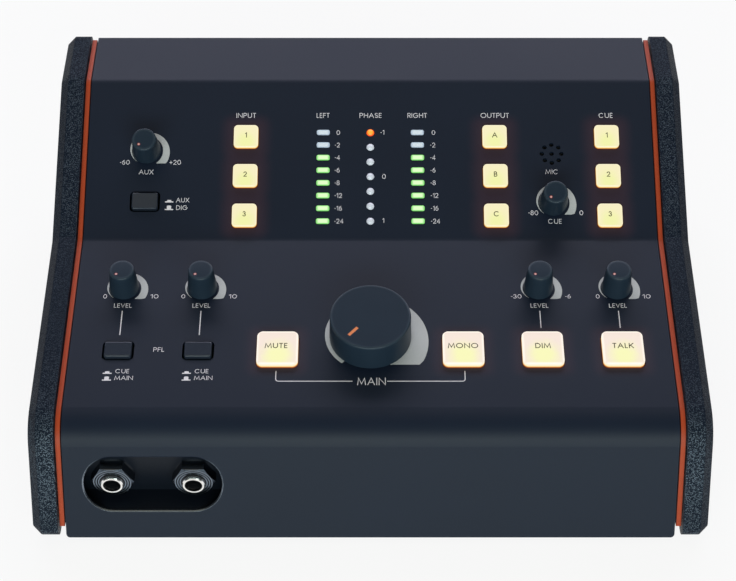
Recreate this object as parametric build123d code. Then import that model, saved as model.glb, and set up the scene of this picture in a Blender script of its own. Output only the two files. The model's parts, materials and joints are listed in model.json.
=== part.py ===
"""Desktop studio monitor controller: a folded steel console between two thick side cheeks.

Millimetres, +X to the right, +Y to the rear, +Z up. The origin is on the table, midway
across the console and midway along its cheeks.
"""
from build123d import *
import math
import os

# ------------------------------------------------------------------ console shell
shell_width = 225.0
sheet = 1.5
sheet_corner = 1.4          # rounding of the shell's bottom front corners
front_run = 44.9            # the five runs of the fold, corner to corner
front_slope = 64.3          # degrees above the horizontal
lower_deck_run = 88.9
lower_deck_slope = 5.8
upper_deck_run = 68.7
upper_deck_slope = 25.7
rear_deck_run = 27.9
rear_deck_slope = 0.7
front_bend = 15.0           # outer bend radii
middle_bend = 4.0
rear_bend = 4.0
seat_gap = 0.2              # gap left between sheets that slide together

# ------------------------------------------------------------------ cheeks and trims
cheek_thickness = 9.8
cheek_proud = 2.0           # how far a cheek stands out over the shell
cheek_drop = 1.0            # how far a cheek reaches below the shell
cheek_behind = 1.2          # and how far it stands out behind the shell
cheek_corner = 4.4
cheek_chamfer = 3.3
cheek_edge = 0.8            # rounding of the chamfer's two edges
trim_thickness = 2.0
trim_gap = 0.3
trim_lift = 4.2             # the trim stops this far above the shell's bottom edge
trim_short = 1.5            # and this far before the shell's rear edge
cheek_screw_low = 12.0      # height of the two low cheek screws over the trim's bottom edge
cheek_screw_front = 34.0    # from the shell's front edge
cheek_screw_rear = 26.0     # from the shell's rear edge
deck_screw_front = 80.0     # the two screws under the decks: place and height
deck_screw_front_lift = 28.0
deck_screw_rear = 40.0
deck_screw_rear_lift = 48.0

# ------------------------------------------------------------------ base, feet, screws
foot_height = 3.0
foot_radius = 6.0
foot_inset = 16.0
base_lip = 6.5              # height of the base's front lip
tab_size = 12.0
tab_front = 30.0            # from the shell's front edge to the front tabs' screws
tab_rear = 40.0             # and from its rear edge to the rear ones
flange_screw_column = 45.0
screw_radius = 1.5
screw_head_radius = 2.8
screw_head = 1.6
screw_length = 7.0
screw_fit = 0.02            # radial gap of a screw in its hole

# ------------------------------------------------------------------ columns and rows of controls
inner_column = 34.7
control_inset = 18.2        # from the shell's end to the outermost column
control_pitch = 29.9        # from there to the next column
outer_column = shell_width / 2 - control_inset
middle_column = outer_column - control_pitch
lower_knob_row = 64.2       # rows are measured up each deck from its front corner
lower_key_row = 34.2
lower_latch_row = 34.3
main_knob_row = 41.0
aux_inset = 23.5
aux_column = shell_width / 2 - aux_inset
aux_knob_row = 38.0
aux_latch_row = 16.1
select_key_inset = 44.7     # from the outermost column
select_key_column = outer_column - select_key_inset
select_key_row = 43.8
select_key_pitch = 16.9
meter_column = 18.8
lamp_row = 45.9
meter_pitch = 5.43
meter_lamps = 8
peak_lamps = 2              # the top lamps of each meter, of another colour
phase_pitch = 6.33
phase_lamps = 7
cue_inset = 22.1            # from the outermost column
cue_column = outer_column - cue_inset
cue_knob_row = 15.7
mic_row = 36.7

# ------------------------------------------------------------------ keys
small_key = 9.7
small_key_corner = 1.6
large_key = 15.4
large_key_corner = 2.2
small_key_proud = 1.5
large_key_proud = 2.2
key_depth = 4.6             # how far a cap reaches below the outer skin
key_wall = 1.2
key_roof = 1.3
key_edge = 0.45
key_clearance = 0.4
key_flange = 1.2
key_flange_thickness = 0.9
key_travel = 1.0
key_stem = 1.8
key_switch_width = 6.6
running_gap = 0.3

# ------------------------------------------------------------------ latching push switches
latch_width = 10.3
latch_length = 7.0
latch_corner = 0.9
latch_proud = 1.3
latch_clearance = 0.8
latch_depth = 6.0
latch_travel = 2.5
latch_stem = 3.0
latch_switch_width = 9.3
latch_switch_length = 8.0

# ------------------------------------------------------------------ knobs and potentiometers
main_knob_radius = 15.4
main_knob_top_radius = 15.1
main_knob_height = 11.8
small_knob_radius = 5.1
small_knob_top_radius = 4.7
small_knob_height = 11.0
knob_gap = 0.5              # a knob floats this far above the deck
knob_edge = 0.6
knob_roof = 3.0
shaft_radius = 3.0
shaft_gap = 0.08
shaft_hole_gap = 0.6
pointer_angle = 228.0       # every pointer rests at its knob's low end
pointer_width = 1.2
pointer_depth = 0.3
main_pointer_inner = 7.1
main_pointer_outer = 12.0
small_pointer_radius = 2.9
pot_width = 10.0
pot_length = 11.5
pot_height = 6.4
main_pot_size = 22.0
pot_nut_flats = 12.0
pot_nut_height = 2.2
pot_bush_radius = 4.5

# ------------------------------------------------------------------ boards
board_depth = 11.0          # outer skin to the top of a board
board = 1.6
board_margin = 4.0
board_far_margin = 7.0
pillar_radius = 2.6
pillar_inset = 3.6          # from a board's edges to a pillar's centre

# ------------------------------------------------------------------ lamps and microphone
bar_lamp_width = 5.2
bar_lamp_height = 2.2
bar_lamp_corner = 0.8
bar_lamp_proud = 0.25
round_lamp_radius = 1.5
round_lamp_proud = 0.8
round_lamp_dome = 0.9
round_lamp_brim = 0.4
lamp_clearance = 0.1
mic_hole_radius = 0.9
mic_ring_radius = 3.9
mic_ring_holes = 8
capsule_radius = 4.85
capsule_height = 4.5
boot_wall = 1.1

# ------------------------------------------------------------------ headphone recess
recess_end = 10.5           # from each jack's axis to that end of the cut-out
recess_height = 21.4
recess_edge = 0.4           # chamfer round the cut-out
recess_row = 21.65          # centre, measured up the front face
recess_margin = 1.0
jack_height = 19.2          # axis above the shell's bottom edge
jack_offset = 0.45          # the jacks sit this far outside the columns of controls

# ------------------------------------------------------------------ jack sockets
jack_bore = 3.25
jack_relief = 4.0           # the wider bore behind the bush
jack_bush = 4.5
jack_ring = 4.2
jack_ring_length = 1.2
jack_reach = 6.5            # how far a bush stands out of its panel
jack_nut_flats = 14.0
jack_nut_height = 5.0
jack_nut_chamfer = 0.7
jack_body = 15.0
jack_body_depth = 26.0
jack_bore_depth = 22.0

# ------------------------------------------------------------------ rear panel
rear_inset = 8.5
rear_flange = 11.0
rear_jack_inset = 28.5      # from the shell's end to the first column of jacks
rear_jack_columns = 5
rear_lower_row = 24.0       # heights above the shell's bottom edge
rear_upper_row = 50.0
power_inset = 38.5          # from the shell's other end to the power inlet and switch
power_pitch = 38.0          # from there to the small signal sockets
signal_gap = 10.0           # their extra distance from the last jacks
rear_jack_column = rear_jack_inset - shell_width / 2
power_column = shell_width / 2 - power_inset
signal_column = power_column - power_pitch
rear_jack_pitch = (signal_column - rear_jack_column - signal_gap) / rear_jack_columns
connector_board_height = 53.0
coax_radius = 4.15
coax_reach = 8.0
coax_centre = 1.65
coax_flange_radius = 6.2
coax_flange = 1.5
coax_body = 12.0
mini_bore = 1.8
mini_relief = 2.5
mini_bush = 3.0
mini_reach = 4.0
mini_nut_radius = 4.2
mini_nut = 2.0
mini_body = 11.0
inlet_hole = 3.2
inlet_pin = 1.05
inlet_pin_length = 9.0
inlet_pin_sunk = 0.5        # the pin's tip lies this far inside the mouth
inlet_nose = 5.4
inlet_proud = 1.0
inlet_body = 13.0
inlet_body_depth = 13.0
rocker_frame_width = 15.0
rocker_frame_height = 21.0
rocker_frame_flange = 1.8
rocker_frame_depth = 13.0
rocker_frame_edge = 1.2     # how far the frame's flange covers the panel round its body
rocker_width = 9.0
rocker_length = 14.6
rocker_top = 4.6            # heights above and below the pivot
rocker_bottom = 4.2
rocker_taper = 0.6
rocker_dish = 1.6
rocker_tilt = 10.0
rocker_gap = 0.35
rocker_pin = 1.0
rocker_pin_reach = 0.7      # into each side of the frame
rocker_pivot = -2.0         # from the panel's face


# ------------------------------------------------------------------ the fold, seen from the side
runs = [
    (front_run, front_slope),
    (lower_deck_run, lower_deck_slope),
    (upper_deck_run, upper_deck_slope),
    (rear_deck_run, rear_deck_slope),
]


def along(slope):
    """Unit step up a run, as (y, z)."""
    return math.cos(math.radians(slope)), math.sin(math.radians(slope))


def inward(slope):
    """Unit normal of a run, pointing into the case, as (y, z)."""
    step_y, step_z = along(slope)
    return step_z, -step_y


def skin_corners(front_y):
    """The sharp corners of the outer skin, from the bottom front edge to the rear edge."""
    points = [(front_y, foot_height)]
    for length, slope in runs:
        step_y, step_z = along(slope)
        last_y, last_z = points[-1]
        points.append((last_y + length * step_y, last_z + length * step_z))
    return points


def parallel_path(front_y, gap, low, back):
    """The skin's path, moved inward by gap, from height low at the front to depth back at the rear."""
    corners = skin_corners(front_y)
    path = []
    for index in range(1, len(runs)):
        near = inward(runs[index - 1][1])
        far = inward(runs[index][1])
        share = gap / (1 + near[0] * far[0] + near[1] * far[1])
        corner_y, corner_z = corners[index]
        path.append((corner_y + share * (near[0] + far[0]), corner_z + share * (near[1] + far[1])))
    first_y, first_z = path[0]
    front_step = along(front_slope)
    start = (first_y - (first_z - low) * front_step[0] / front_step[1], low)
    last_y, last_z = path[-1]
    rear_step = along(rear_deck_slope)
    end = (back, last_z + (back - last_y) * rear_step[1] / rear_step[0])
    return [start, *path, end]


def side_face(front_y, gap, low, back):
    """Closed side view of everything under the skin moved inward by gap."""
    path = parallel_path(front_y, gap, low, back)
    radii = [front_bend - gap, middle_bend + gap, rear_bend - gap]
    skin = FilletPolyline(*path, radius=radii)
    return make_face(skin + Polyline(path[-1], (back, low), path[0]))


def make_cheek_slab():
    """A cheek with its outer edge chamfered all round, for a shell that starts at y = 0."""
    low = foot_height - cheek_drop
    back = skin_corners(0.0)[-1][0] + cheek_behind
    outline = side_face(0.0, -cheek_proud, low, back)
    path = parallel_path(0.0, -cheek_proud, low, back)
    free = [path[0], path[-1], (back, low)]
    picked = [
        vertex for vertex in outline.vertices()
        if min(math.dist((vertex.X, vertex.Y), point) for point in free) < 0.01
    ]
    slab = extrude(Plane.YZ * fillet(picked, cheek_corner), cheek_thickness)
    slab = chamfer(slab.faces().sort_by(Axis.X)[-1].edges(), cheek_chamfer)
    for depth in (0, cheek_chamfer):
        level = cheek_thickness - depth
        rim = [
            edge for edge in slab.edges()
            if max(abs(edge.bounding_box().min.X - level), abs(edge.bounding_box().max.X - level)) < 0.01
        ]
        slab = fillet(rim, cheek_edge)
    return slab


cheek_slab = make_cheek_slab()
front_y = -cheek_slab.bounding_box().center().Y
corners = skin_corners(front_y)
rear_y = corners[-1][0]
half_width = shell_width / 2
inner_half = half_width - sheet
base_top = foot_height + sheet


def deck_plane(point, slope):
    """Plane on a run's outer skin: local x is across, local y is up the run, local z is outward."""
    step_y, step_z = along(slope)
    return Plane(origin=(0, point[0], point[1]), x_dir=(1, 0, 0), z_dir=(0, -step_z, step_y))


front_face = deck_plane(corners[0], front_slope)
lower_deck = deck_plane(corners[1], lower_deck_slope)
upper_deck = deck_plane(corners[2], upper_deck_slope)


def block(plane, x, row, low, high, width, length, corner=0.0):
    """Prism on a plane, from height low to high, with rounded upright edges."""
    outline = RectangleRounded(width, length, corner) if corner > 0 else Rectangle(width, length)
    return extrude(plane.offset(low) * Pos(x, row) * outline, high - low)


def bar(plane, x, row, low, high, radius):
    """Round bar on a plane, from height low to high."""
    return extrude(plane.offset(low) * Pos(x, row) * Circle(radius), high - low)


def turned(plane, x, row, profile):
    """Solid of revolution about the plane's normal; profile is a list of (radius, height) points."""
    outline = make_face(Polyline(*profile, close=True))
    return plane * Pos(x, row) * revolve(Plane.XZ * outline, Axis.Z)


def hexagon_nut(plane, x, row, low, high, flats, hole, chamfer_size):
    """Hexagon nut with its corners turned off at both ends."""
    corner_radius = flats / math.sqrt(3)
    prism = extrude(plane.offset(low) * Pos(x, row) * RegularPolygon(corner_radius, 6), high - low)
    cone = [
        (0, low),
        (corner_radius - chamfer_size, low),
        (corner_radius, low + chamfer_size / 2),
        (corner_radius, high - chamfer_size / 2),
        (corner_radius - chamfer_size, high),
        (0, high),
    ]
    return (prism & turned(plane, x, row, cone)) - bar(plane, x, row, low - 1, high + 1, hole)


def group(shapes):
    """Several separate solids that share one node."""
    return Compound([solid for shape in shapes for solid in shape.solids()])


def side_solid(outline, half):
    """A side view drawn in (y, z), carried half each way from the middle."""
    return extrude(Plane.YZ * outline, half, both=True)


# ------------------------------------------------------------------ where every control sits
small_keys = {
    f"{name}_key_{number + 1}": (upper_deck, x, select_key_row - number * select_key_pitch)
    for name, x in (
        ("input", -select_key_column),
        ("output", select_key_column),
        ("cue", outer_column),
    )
    for number in range(3)
}
large_keys = {
    "mute_key": (lower_deck, -inner_column, lower_key_row),
    "mono_key": (lower_deck, inner_column, lower_key_row),
    "dim_key": (lower_deck, middle_column, lower_key_row),
    "talk_key": (lower_deck, outer_column, lower_key_row),
}
small_knobs = {
    "aux_level_knob": (upper_deck, -aux_column, aux_knob_row),
    "cue_level_knob": (upper_deck, cue_column, cue_knob_row),
    "phones_1_knob": (lower_deck, -outer_column, lower_knob_row),
    "phones_2_knob": (lower_deck, -middle_column, lower_knob_row),
    "dim_level_knob": (lower_deck, middle_column, lower_knob_row),
    "talk_level_knob": (lower_deck, outer_column, lower_knob_row),
}
latches = {
    "aux_source_button": (upper_deck, -aux_column, aux_latch_row),
    "phones_1_button": (lower_deck, -outer_column, lower_latch_row),
    "phones_2_button": (lower_deck, -middle_column, lower_latch_row),
}
main_knob_place = (lower_deck, 0.0, main_knob_row)
meter_rows = [lamp_row - number * meter_pitch for number in range(meter_lamps)]
phase_rows = [lamp_row - number * phase_pitch for number in range(phase_lamps)]
screw_places = [
    (side * (inner_half - tab_size / 2), y)
    for side in (-1, 1)
    for y in (front_y + tab_front, rear_y - tab_rear)
]
flange_screws = [
    (side * flange_screw_column, rear_y - rear_inset - sheet - rear_flange / 2)
    for side in (-1, 1)
]


# ------------------------------------------------------------------ shell
def make_top_shell():
    """Front and decks, folded from one sheet and cut out for the controls."""
    view = side_face(front_y, 0, foot_height, rear_y)
    shell = side_solid(view - side_face(front_y, sheet, foot_height - 1, rear_y + 1), half_width)
    bottom = shell.faces().sort_by(Axis.Z)[0]
    shell = fillet(bottom.edges().filter_by(Axis.Y), sheet_corner)
    below, above = -2 * sheet, sheet
    cutters = []
    for size, corner, places in (
        (small_key, small_key_corner, small_keys),
        (large_key, large_key_corner, large_keys),
    ):
        hole = size + 2 * key_clearance
        cutters += [
            block(plane, x, row, below, above, hole, hole, corner + key_clearance)
            for plane, x, row in places.values()
        ]
    cutters += [
        block(
            plane, x, row, below, above,
            latch_width + 2 * latch_clearance, latch_length + 2 * latch_clearance,
            latch_corner + latch_clearance,
        )
        for plane, x, row in latches.values()
    ]
    cutters += [
        bar(plane, x, row, below, above, shaft_radius + shaft_hole_gap)
        for plane, x, row in small_knobs.values()
    ]
    cutters.append(bar(*main_knob_place, below, above, pot_bush_radius + seat_gap))
    cutters += [
        block(
            upper_deck, side * meter_column, row, below, above,
            bar_lamp_width + 2 * lamp_clearance, bar_lamp_height + 2 * lamp_clearance,
            bar_lamp_corner + lamp_clearance,
        )
        for side in (-1, 1)
        for row in meter_rows
    ]
    cutters += [bar(upper_deck, 0, row, below, above, round_lamp_radius + lamp_clearance) for row in phase_rows]
    cutters += [bar(upper_deck, x, row, below, above, mic_hole_radius) for x, row in mic_holes()]
    slot = Pos(-recess_column(), recess_row) * SlotOverall(recess_length, recess_height)
    cutters.append(extrude(front_face.offset(below) * slot, above - below))
    cutters.append(extrude(front_face.offset(-recess_edge) * slot, 2 * recess_edge, taper=-45))
    return shell - cutters


def make_side_plate(side):
    """Upright wall welded under one end of the folded sheet, with the tabs for the case screws."""
    outline = side_face(front_y, sheet + seat_gap, foot_height, rear_y)
    plate = extrude(Plane.YZ * outline, sheet)
    plate = Pos(inner_half if side > 0 else -half_width, 0, 0) * plate
    plate -= [
        Pos(side * half_width, y, z) * Cylinder(screw_radius + screw_fit, 4 * sheet, rotation=(0, 90, 0))
        for y, z in cheek_screw_places()
    ]
    tabs = [
        Pos(x, y, base_top + sheet / 2) * (
            Box(tab_size, tab_size, sheet) - Cylinder(screw_radius + screw_fit, 2 * sheet)
        )
        for x, y in screw_places if x * side > 0
    ]
    return plate + tabs


def mic_holes():
    """Centres of the microphone's sound holes: a ring and one in the middle."""
    ring = [
        (
            cue_column + mic_ring_radius * math.cos(math.radians(turn * 360 / mic_ring_holes)),
            mic_row + mic_ring_radius * math.sin(math.radians(turn * 360 / mic_ring_holes)),
        )
        for turn in range(mic_ring_holes)
    ]
    return [(cue_column, mic_row), *ring]


def recess_column():
    """Distance of the recess's middle from the console's middle: midway between the two jacks."""
    return (outer_column + middle_column) / 2 + jack_offset


def cheek_screw_places():
    """(y, z) of the screws that hold a trim and a cheek: two low ones and two under the decks."""
    edge = foot_height + trim_lift
    return [
        (front_y + cheek_screw_front, edge + cheek_screw_low),
        (rear_y - cheek_screw_rear, edge + cheek_screw_low),
        (front_y + deck_screw_front, edge + deck_screw_front_lift),
        (rear_y - deck_screw_rear, edge + deck_screw_rear_lift),
    ]


# ------------------------------------------------------------------ base and rear panel
def make_base_tray():
    """Bottom sheet with a lip folded up behind the front face."""
    step_y, step_z = along(front_slope)
    lean = step_y / step_z
    level_sheet = sheet / step_z
    outer = front_y + (sheet + seat_gap) / step_z
    back = rear_y - rear_inset - sheet - seat_gap
    profile = Polyline(
        (outer, foot_height),
        (outer + base_lip * lean, foot_height + base_lip),
        (outer + base_lip * lean + level_sheet, foot_height + base_lip),
        (outer + sheet * lean + level_sheet, base_top),
        (back, base_top),
        (back, foot_height),
        close=True,
    )
    tray = side_solid(make_face(profile), inner_half - seat_gap)
    holes = [
        Pos(x, y, foot_height) * Cylinder(screw_radius + screw_fit, 4 * sheet)
        for x, y in screw_places + flange_screws
    ]
    return tray - holes


def make_rear_panel():
    """Upright plate with the connectors' holes and a flange folded forward onto the base."""
    outer = rear_y - rear_inset
    top = corners[-1][1] - (sheet + seat_gap) - rear_inset * math.tan(math.radians(rear_deck_slope))
    plate = Pos(0, outer - sheet / 2, (base_top + top) / 2) * Box(
        2 * (inner_half - seat_gap), sheet, top - base_top
    )
    flange = Pos(0, outer - rear_flange / 2, base_top + sheet / 2) * Box(
        2 * (inner_half - seat_gap - tab_size), rear_flange, sheet
    )
    panel = plate + flange
    panel -= [bar(rear_socket_plane, -x, z, -2 * sheet, sheet, jack_bush + seat_gap / 2) for x, z in rear_jacks]
    panel -= bar(rear_socket_plane, -signal_column, rear_upper_row, -2 * sheet, sheet, coax_radius + seat_gap / 2)
    panel -= bar(rear_socket_plane, -signal_column, rear_lower_row, -2 * sheet, sheet, mini_bush + seat_gap / 2)
    panel -= bar(rear_socket_plane, -power_column, rear_lower_row, -2 * sheet, sheet, inlet_nose + seat_gap / 2)
    panel -= block(
        rear_socket_plane, -power_column, rear_upper_row, -2 * sheet, sheet,
        rocker_body_width + seat_gap, rocker_body_height + seat_gap,
    )
    panel -= [
        Pos(x, y, base_top) * Cylinder(screw_radius + screw_fit, 4 * sheet) for x, y in flange_screws
    ]
    return panel


def make_case_screws():
    """Pan-head screws up through the base, into the shell's tabs and the rear panel's flange."""
    def screw(x, y):
        profile = [
            (0, -screw_head),
            (screw_head_radius * 0.7, -screw_head),
            (screw_head_radius, -screw_head * 0.45),
            (screw_head_radius, 0),
            (screw_radius, 0),
            (screw_radius, screw_length),
            (0, screw_length),
        ]
        return Pos(x, y, foot_height) * revolve(Plane.XZ * make_face(Polyline(*profile, close=True)), Axis.Z)
    return group([screw(x, y) for x, y in screw_places + flange_screws])


def make_rubber_feet():
    """Four soft feet stuck under the base."""
    places = [
        (side * (inner_half - foot_inset), y)
        for side in (-1, 1)
        for y in (front_y + foot_inset, rear_y - rear_inset - foot_inset)
    ]
    profile = [(0, 0), (foot_radius * 0.86, 0), (foot_radius, foot_height), (0, foot_height)]
    foot = revolve(Plane.XZ * make_face(Polyline(*profile, close=True)), Axis.Z)
    return group([Pos(x, y, 0) * foot for x, y in places])


# ------------------------------------------------------------------ cheeks and trims
trim_start = half_width + trim_gap
cheek_start = trim_start + trim_thickness + trim_gap


def make_trim(side):
    """Thin coloured plate between the shell and a cheek; only its edge shows."""
    outline = side_face(front_y, 0, foot_height + trim_lift, rear_y - trim_short)
    plate = extrude(Plane.YZ * outline, trim_thickness)
    start = trim_start if side > 0 else -trim_start - trim_thickness
    holes = [
        Pos(side * trim_start, y, z) * Cylinder(screw_radius + screw_fit, 4 * trim_thickness, rotation=(0, 90, 0))
        for y, z in cheek_screw_places()
    ]
    return Pos(start, 0, 0) * plate - holes


def make_cheek(side):
    """Thick side cheek with the blind holes of its screws."""
    slab = Pos(cheek_start, front_y, 0) * cheek_slab
    depth = cheek_screw_length() - sheet - 2 * trim_gap - trim_thickness
    slab -= [
        Pos(cheek_start + (depth + screw_fit) / 2 - 0.5, y, z)
        * Cylinder(screw_radius + screw_fit, depth + screw_fit + 1, rotation=(0, 90, 0))
        for y, z in cheek_screw_places()
    ]
    return slab if side > 0 else mirror(slab, Plane.YZ)


def cheek_screw_length():
    """Shank of a cheek screw: through wall and trim, and most of the way into the cheek."""
    return sheet + 2 * trim_gap + trim_thickness + cheek_thickness * 0.6


def make_cheek_screws():
    """Screws driven outward from inside the shell's walls."""
    screws = []
    for side in (-1, 1):
        for y, z in cheek_screw_places():
            head = Cylinder(screw_head_radius, screw_head, rotation=(0, 90, 0))
            shank = Cylinder(screw_radius, cheek_screw_length(), rotation=(0, 90, 0))
            screws.append(
                Pos(side * (inner_half - screw_head / 2), y, z) * head
                + Pos(side * (inner_half + cheek_screw_length() / 2), y, z) * shank
            )
    return group(screws)


# ------------------------------------------------------------------ keys
key_bottom = -key_depth
switch_top = key_bottom - key_travel - running_gap
stem_bottom = -board_depth + key_travel + 2 * running_gap


def make_key(plane, x, row, size, corner, proud):
    """Hollow translucent cap with a retaining flange under the sheet and a stem for its switch."""
    cap = block(plane, x, row, key_bottom, proud, size, size, corner)
    roof = cap.faces().sort_by(Axis(plane.origin, plane.z_dir))[-1]
    cap = fillet(roof.edges(), key_edge)
    flange_top = -sheet - running_gap
    wide = size + 2 * key_flange
    cap += block(plane, x, row, flange_top - key_flange_thickness, flange_top, wide, wide, corner)
    inside = size - 2 * key_wall
    cap -= block(plane, x, row, key_bottom - 1, proud - key_roof, inside, inside, corner * 0.5)
    return cap + bar(plane, x, row, stem_bottom, proud - key_roof / 2, key_stem)


def make_key_switch(plane, x, row):
    """Tactile switch on the board, with the blind hole that the cap's stem runs in."""
    body = block(plane, x, row, -board_depth, switch_top, key_switch_width, key_switch_width, 0.4)
    return body - bar(plane, x, row, stem_bottom - key_travel - running_gap, 0, key_stem + running_gap / 2)


# ------------------------------------------------------------------ latching push switches
latch_switch_top = -latch_depth - running_gap
latch_stem_bottom = -board_depth + 2 * running_gap


def make_latch_button(plane, x, row):
    """Black push cap with a square stem; modelled latched in, as it is stored."""
    cap = block(plane, x, row, -latch_depth, latch_proud, latch_width, latch_length, latch_corner)
    roof = cap.faces().sort_by(Axis(plane.origin, plane.z_dir))[-1]
    cap = fillet(roof.edges(), knob_edge)
    return cap + block(plane, x, row, latch_stem_bottom, -latch_depth / 2, latch_stem, latch_stem)


def make_latch_switch(plane, x, row):
    """Latching switch body with the square hole of its plunger."""
    body = block(plane, x, row, -board_depth, latch_switch_top, latch_switch_width, latch_switch_length, 0.4)
    hole = latch_stem + running_gap
    return body - block(plane, x, row, latch_stem_bottom - running_gap, 0, hole, hole)


# ------------------------------------------------------------------ knobs and potentiometers
pot_top = -board_depth + pot_height


def make_small_knob(plane, x, row):
    """Tapered knob on its metal shaft: two solids that turn together."""
    top = knob_gap + small_knob_height
    profile = [
        (0, knob_gap),
        (small_knob_radius, knob_gap),
        (small_knob_top_radius, top),
        (0, top),
    ]
    knob = turned(plane, x, row, profile)
    roof = knob.faces().sort_by(Axis(plane.origin, plane.z_dir))[-1]
    knob = fillet(roof.edges(), knob_edge)
    shaft_top = top - knob_roof
    knob -= bar(plane, x, row, 0, shaft_top, shaft_radius + screw_fit)
    angle = math.radians(pointer_angle)
    dot_x = x + small_pointer_radius * math.cos(angle)
    dot_row = row + small_pointer_radius * math.sin(angle)
    knob -= bar(plane, dot_x, dot_row, top - pointer_depth, top + 1, pointer_width / 2)
    shaft = bar(plane, x, row, pot_top - pot_height / 2, shaft_top - screw_fit, shaft_radius)
    return group([knob, shaft])


def make_small_pot(plane, x, row):
    """Board-mounted potentiometer with the bearing of its shaft."""
    body = block(plane, x, row, -board_depth, pot_top, pot_width, pot_length, 0.5)
    body += bar(plane, x, row, pot_top - 1, -sheet - running_gap, shaft_radius + 1)
    return body - bar(plane, x, row, pot_top - pot_height / 2 - running_gap, 0, shaft_radius + shaft_gap)


def make_main_knob(plane, x, row):
    """Large level knob with a sunk pointer line on its top."""
    top = knob_gap + main_knob_height
    profile = [
        (0, knob_gap),
        (main_knob_radius, knob_gap),
        (main_knob_top_radius, top),
        (0, top),
    ]
    knob = turned(plane, x, row, profile)
    roof = knob.faces().sort_by(Axis(plane.origin, plane.z_dir))[-1]
    knob = fillet(roof.edges(), knob_edge)
    knob -= bar(plane, x, row, 0, knob_gap + pot_nut_height + 1, pot_nut_flats / math.sqrt(3) + 1)
    knob -= bar(plane, x, row, 0, top - knob_roof, shaft_radius + screw_fit)
    middle = (main_pointer_inner + main_pointer_outer) / 2
    line = Rectangle(main_pointer_outer - main_pointer_inner, pointer_width)
    line = Pos(x, row) * Rot(0, 0, pointer_angle) * Pos(middle, 0) * line
    return knob - extrude(plane.offset(top - pointer_depth) * line, 1)


def make_main_shaft(plane, x, row):
    """Metal shaft of the main level control."""
    top = knob_gap + main_knob_height - knob_roof - screw_fit
    return bar(plane, x, row, pot_top - pot_height / 2, top, shaft_radius)


def make_main_pot(plane, x, row):
    """Main potentiometer with a threaded bush through the deck."""
    body = block(plane, x, row, -board_depth, pot_top, main_pot_size, main_pot_size, 1.5)
    body += bar(plane, x, row, pot_top - 1, knob_gap + pot_nut_height, pot_bush_radius)
    body += bar(plane, x, row, pot_top - 1, -sheet, pot_bush_radius + 2)
    return body - bar(plane, x, row, pot_top - pot_height / 2 - running_gap, 9, shaft_radius + shaft_gap)


def make_main_pot_nut(plane, x, row):
    """Nut that clamps the main potentiometer to the deck, hidden in the knob."""
    return hexagon_nut(
        plane, x, row, 0, pot_nut_height, pot_nut_flats, pot_bush_radius + screw_fit, jack_nut_chamfer
    )


# ------------------------------------------------------------------ boards, lamps, microphone
board_half = inner_half - board_margin / 2
boards = {
    "upper_board": (upper_deck, upper_deck_run, board_margin, board_far_margin),
    "lower_board": (lower_deck, lower_deck_run, board_margin + front_bend, board_far_margin),
}


def make_board(plane, run, near, far):
    """Circuit board hung parallel to a deck."""
    return block(
        plane, 0, (near + run - far) / 2, -board_depth - board, -board_depth,
        2 * board_half, run - near - far,
    )


def make_pillars():
    """Round pillars that carry the two boards under the decks."""
    pillars = []
    for plane, run, near, far in boards.values():
        for side in (-1, 1):
            for row in (near + pillar_inset, run - far - pillar_inset):
                x = side * (board_half - pillar_inset)
                pillars.append(bar(plane, x, row, -board_depth, -sheet, pillar_radius))
    return group(pillars)


def make_bar_lamps(rows):
    """Flat lamps of both meters in the given rows; they stand on the board and fill their windows."""
    return group([
        block(
            upper_deck, side * meter_column, row, -board_depth, bar_lamp_proud,
            bar_lamp_width, bar_lamp_height, bar_lamp_corner,
        )
        for side in (-1, 1)
        for row in rows
    ])


def make_round_lamp(row):
    """Round lamp on its spacer, with a domed nose."""
    r = round_lamp_radius
    shoulder = -sheet - running_gap
    nose = round_lamp_proud - round_lamp_dome
    brim = r + round_lamp_brim
    outline = Polyline(
        (0, round_lamp_proud),
        (0, -board_depth),
        (brim, -board_depth),
        (brim, shoulder),
        (r, shoulder),
        (r, nose),
    )
    outline += TangentArc((0, round_lamp_proud), (r, nose), tangent=(1, 0))
    return upper_deck * Pos(0, row) * revolve(Plane.XZ * make_face(outline), Axis.Z)


def make_mic_capsule():
    """Microphone capsule under its sound holes."""
    top = -sheet - running_gap
    return bar(upper_deck, cue_column, mic_row, top - capsule_height, top, capsule_radius)


def make_mic_boot():
    """Rubber boot that holds the capsule on the board, against the sheet."""
    outer = capsule_radius + boot_wall
    boot = bar(upper_deck, cue_column, mic_row, -board_depth, -sheet, outer)
    return boot - bar(upper_deck, cue_column, mic_row, -sheet - running_gap - capsule_height, 0, capsule_radius)


# ------------------------------------------------------------------ headphone recess
def skin_point(row, gap):
    """(y, z) of the point at that row of the front face, moved inward by gap."""
    step = along(front_slope)
    normal = inward(front_slope)
    return (
        front_y + row * step[0] + gap * normal[0],
        foot_height + row * step[1] + gap * normal[1],
    )


recess_length = control_pitch + 2 * recess_end
recess_floor = skin_point(recess_row - recess_height / 2, sheet)[1]
recess_back = skin_point(recess_row + recess_height / 2, sheet)[0]


def wedge(floor, back):
    """Side view of the space between the front sheet's inner skin, a floor and an upright back."""
    lean = 1 / math.tan(math.radians(front_slope))
    foot_y, foot_z = skin_point(0, sheet)
    return make_face(Polyline(
        (foot_y + (floor - foot_z) * lean, floor),
        (back, floor),
        (back, foot_z + (back - foot_y) / lean),
        close=True,
    ))


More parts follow.
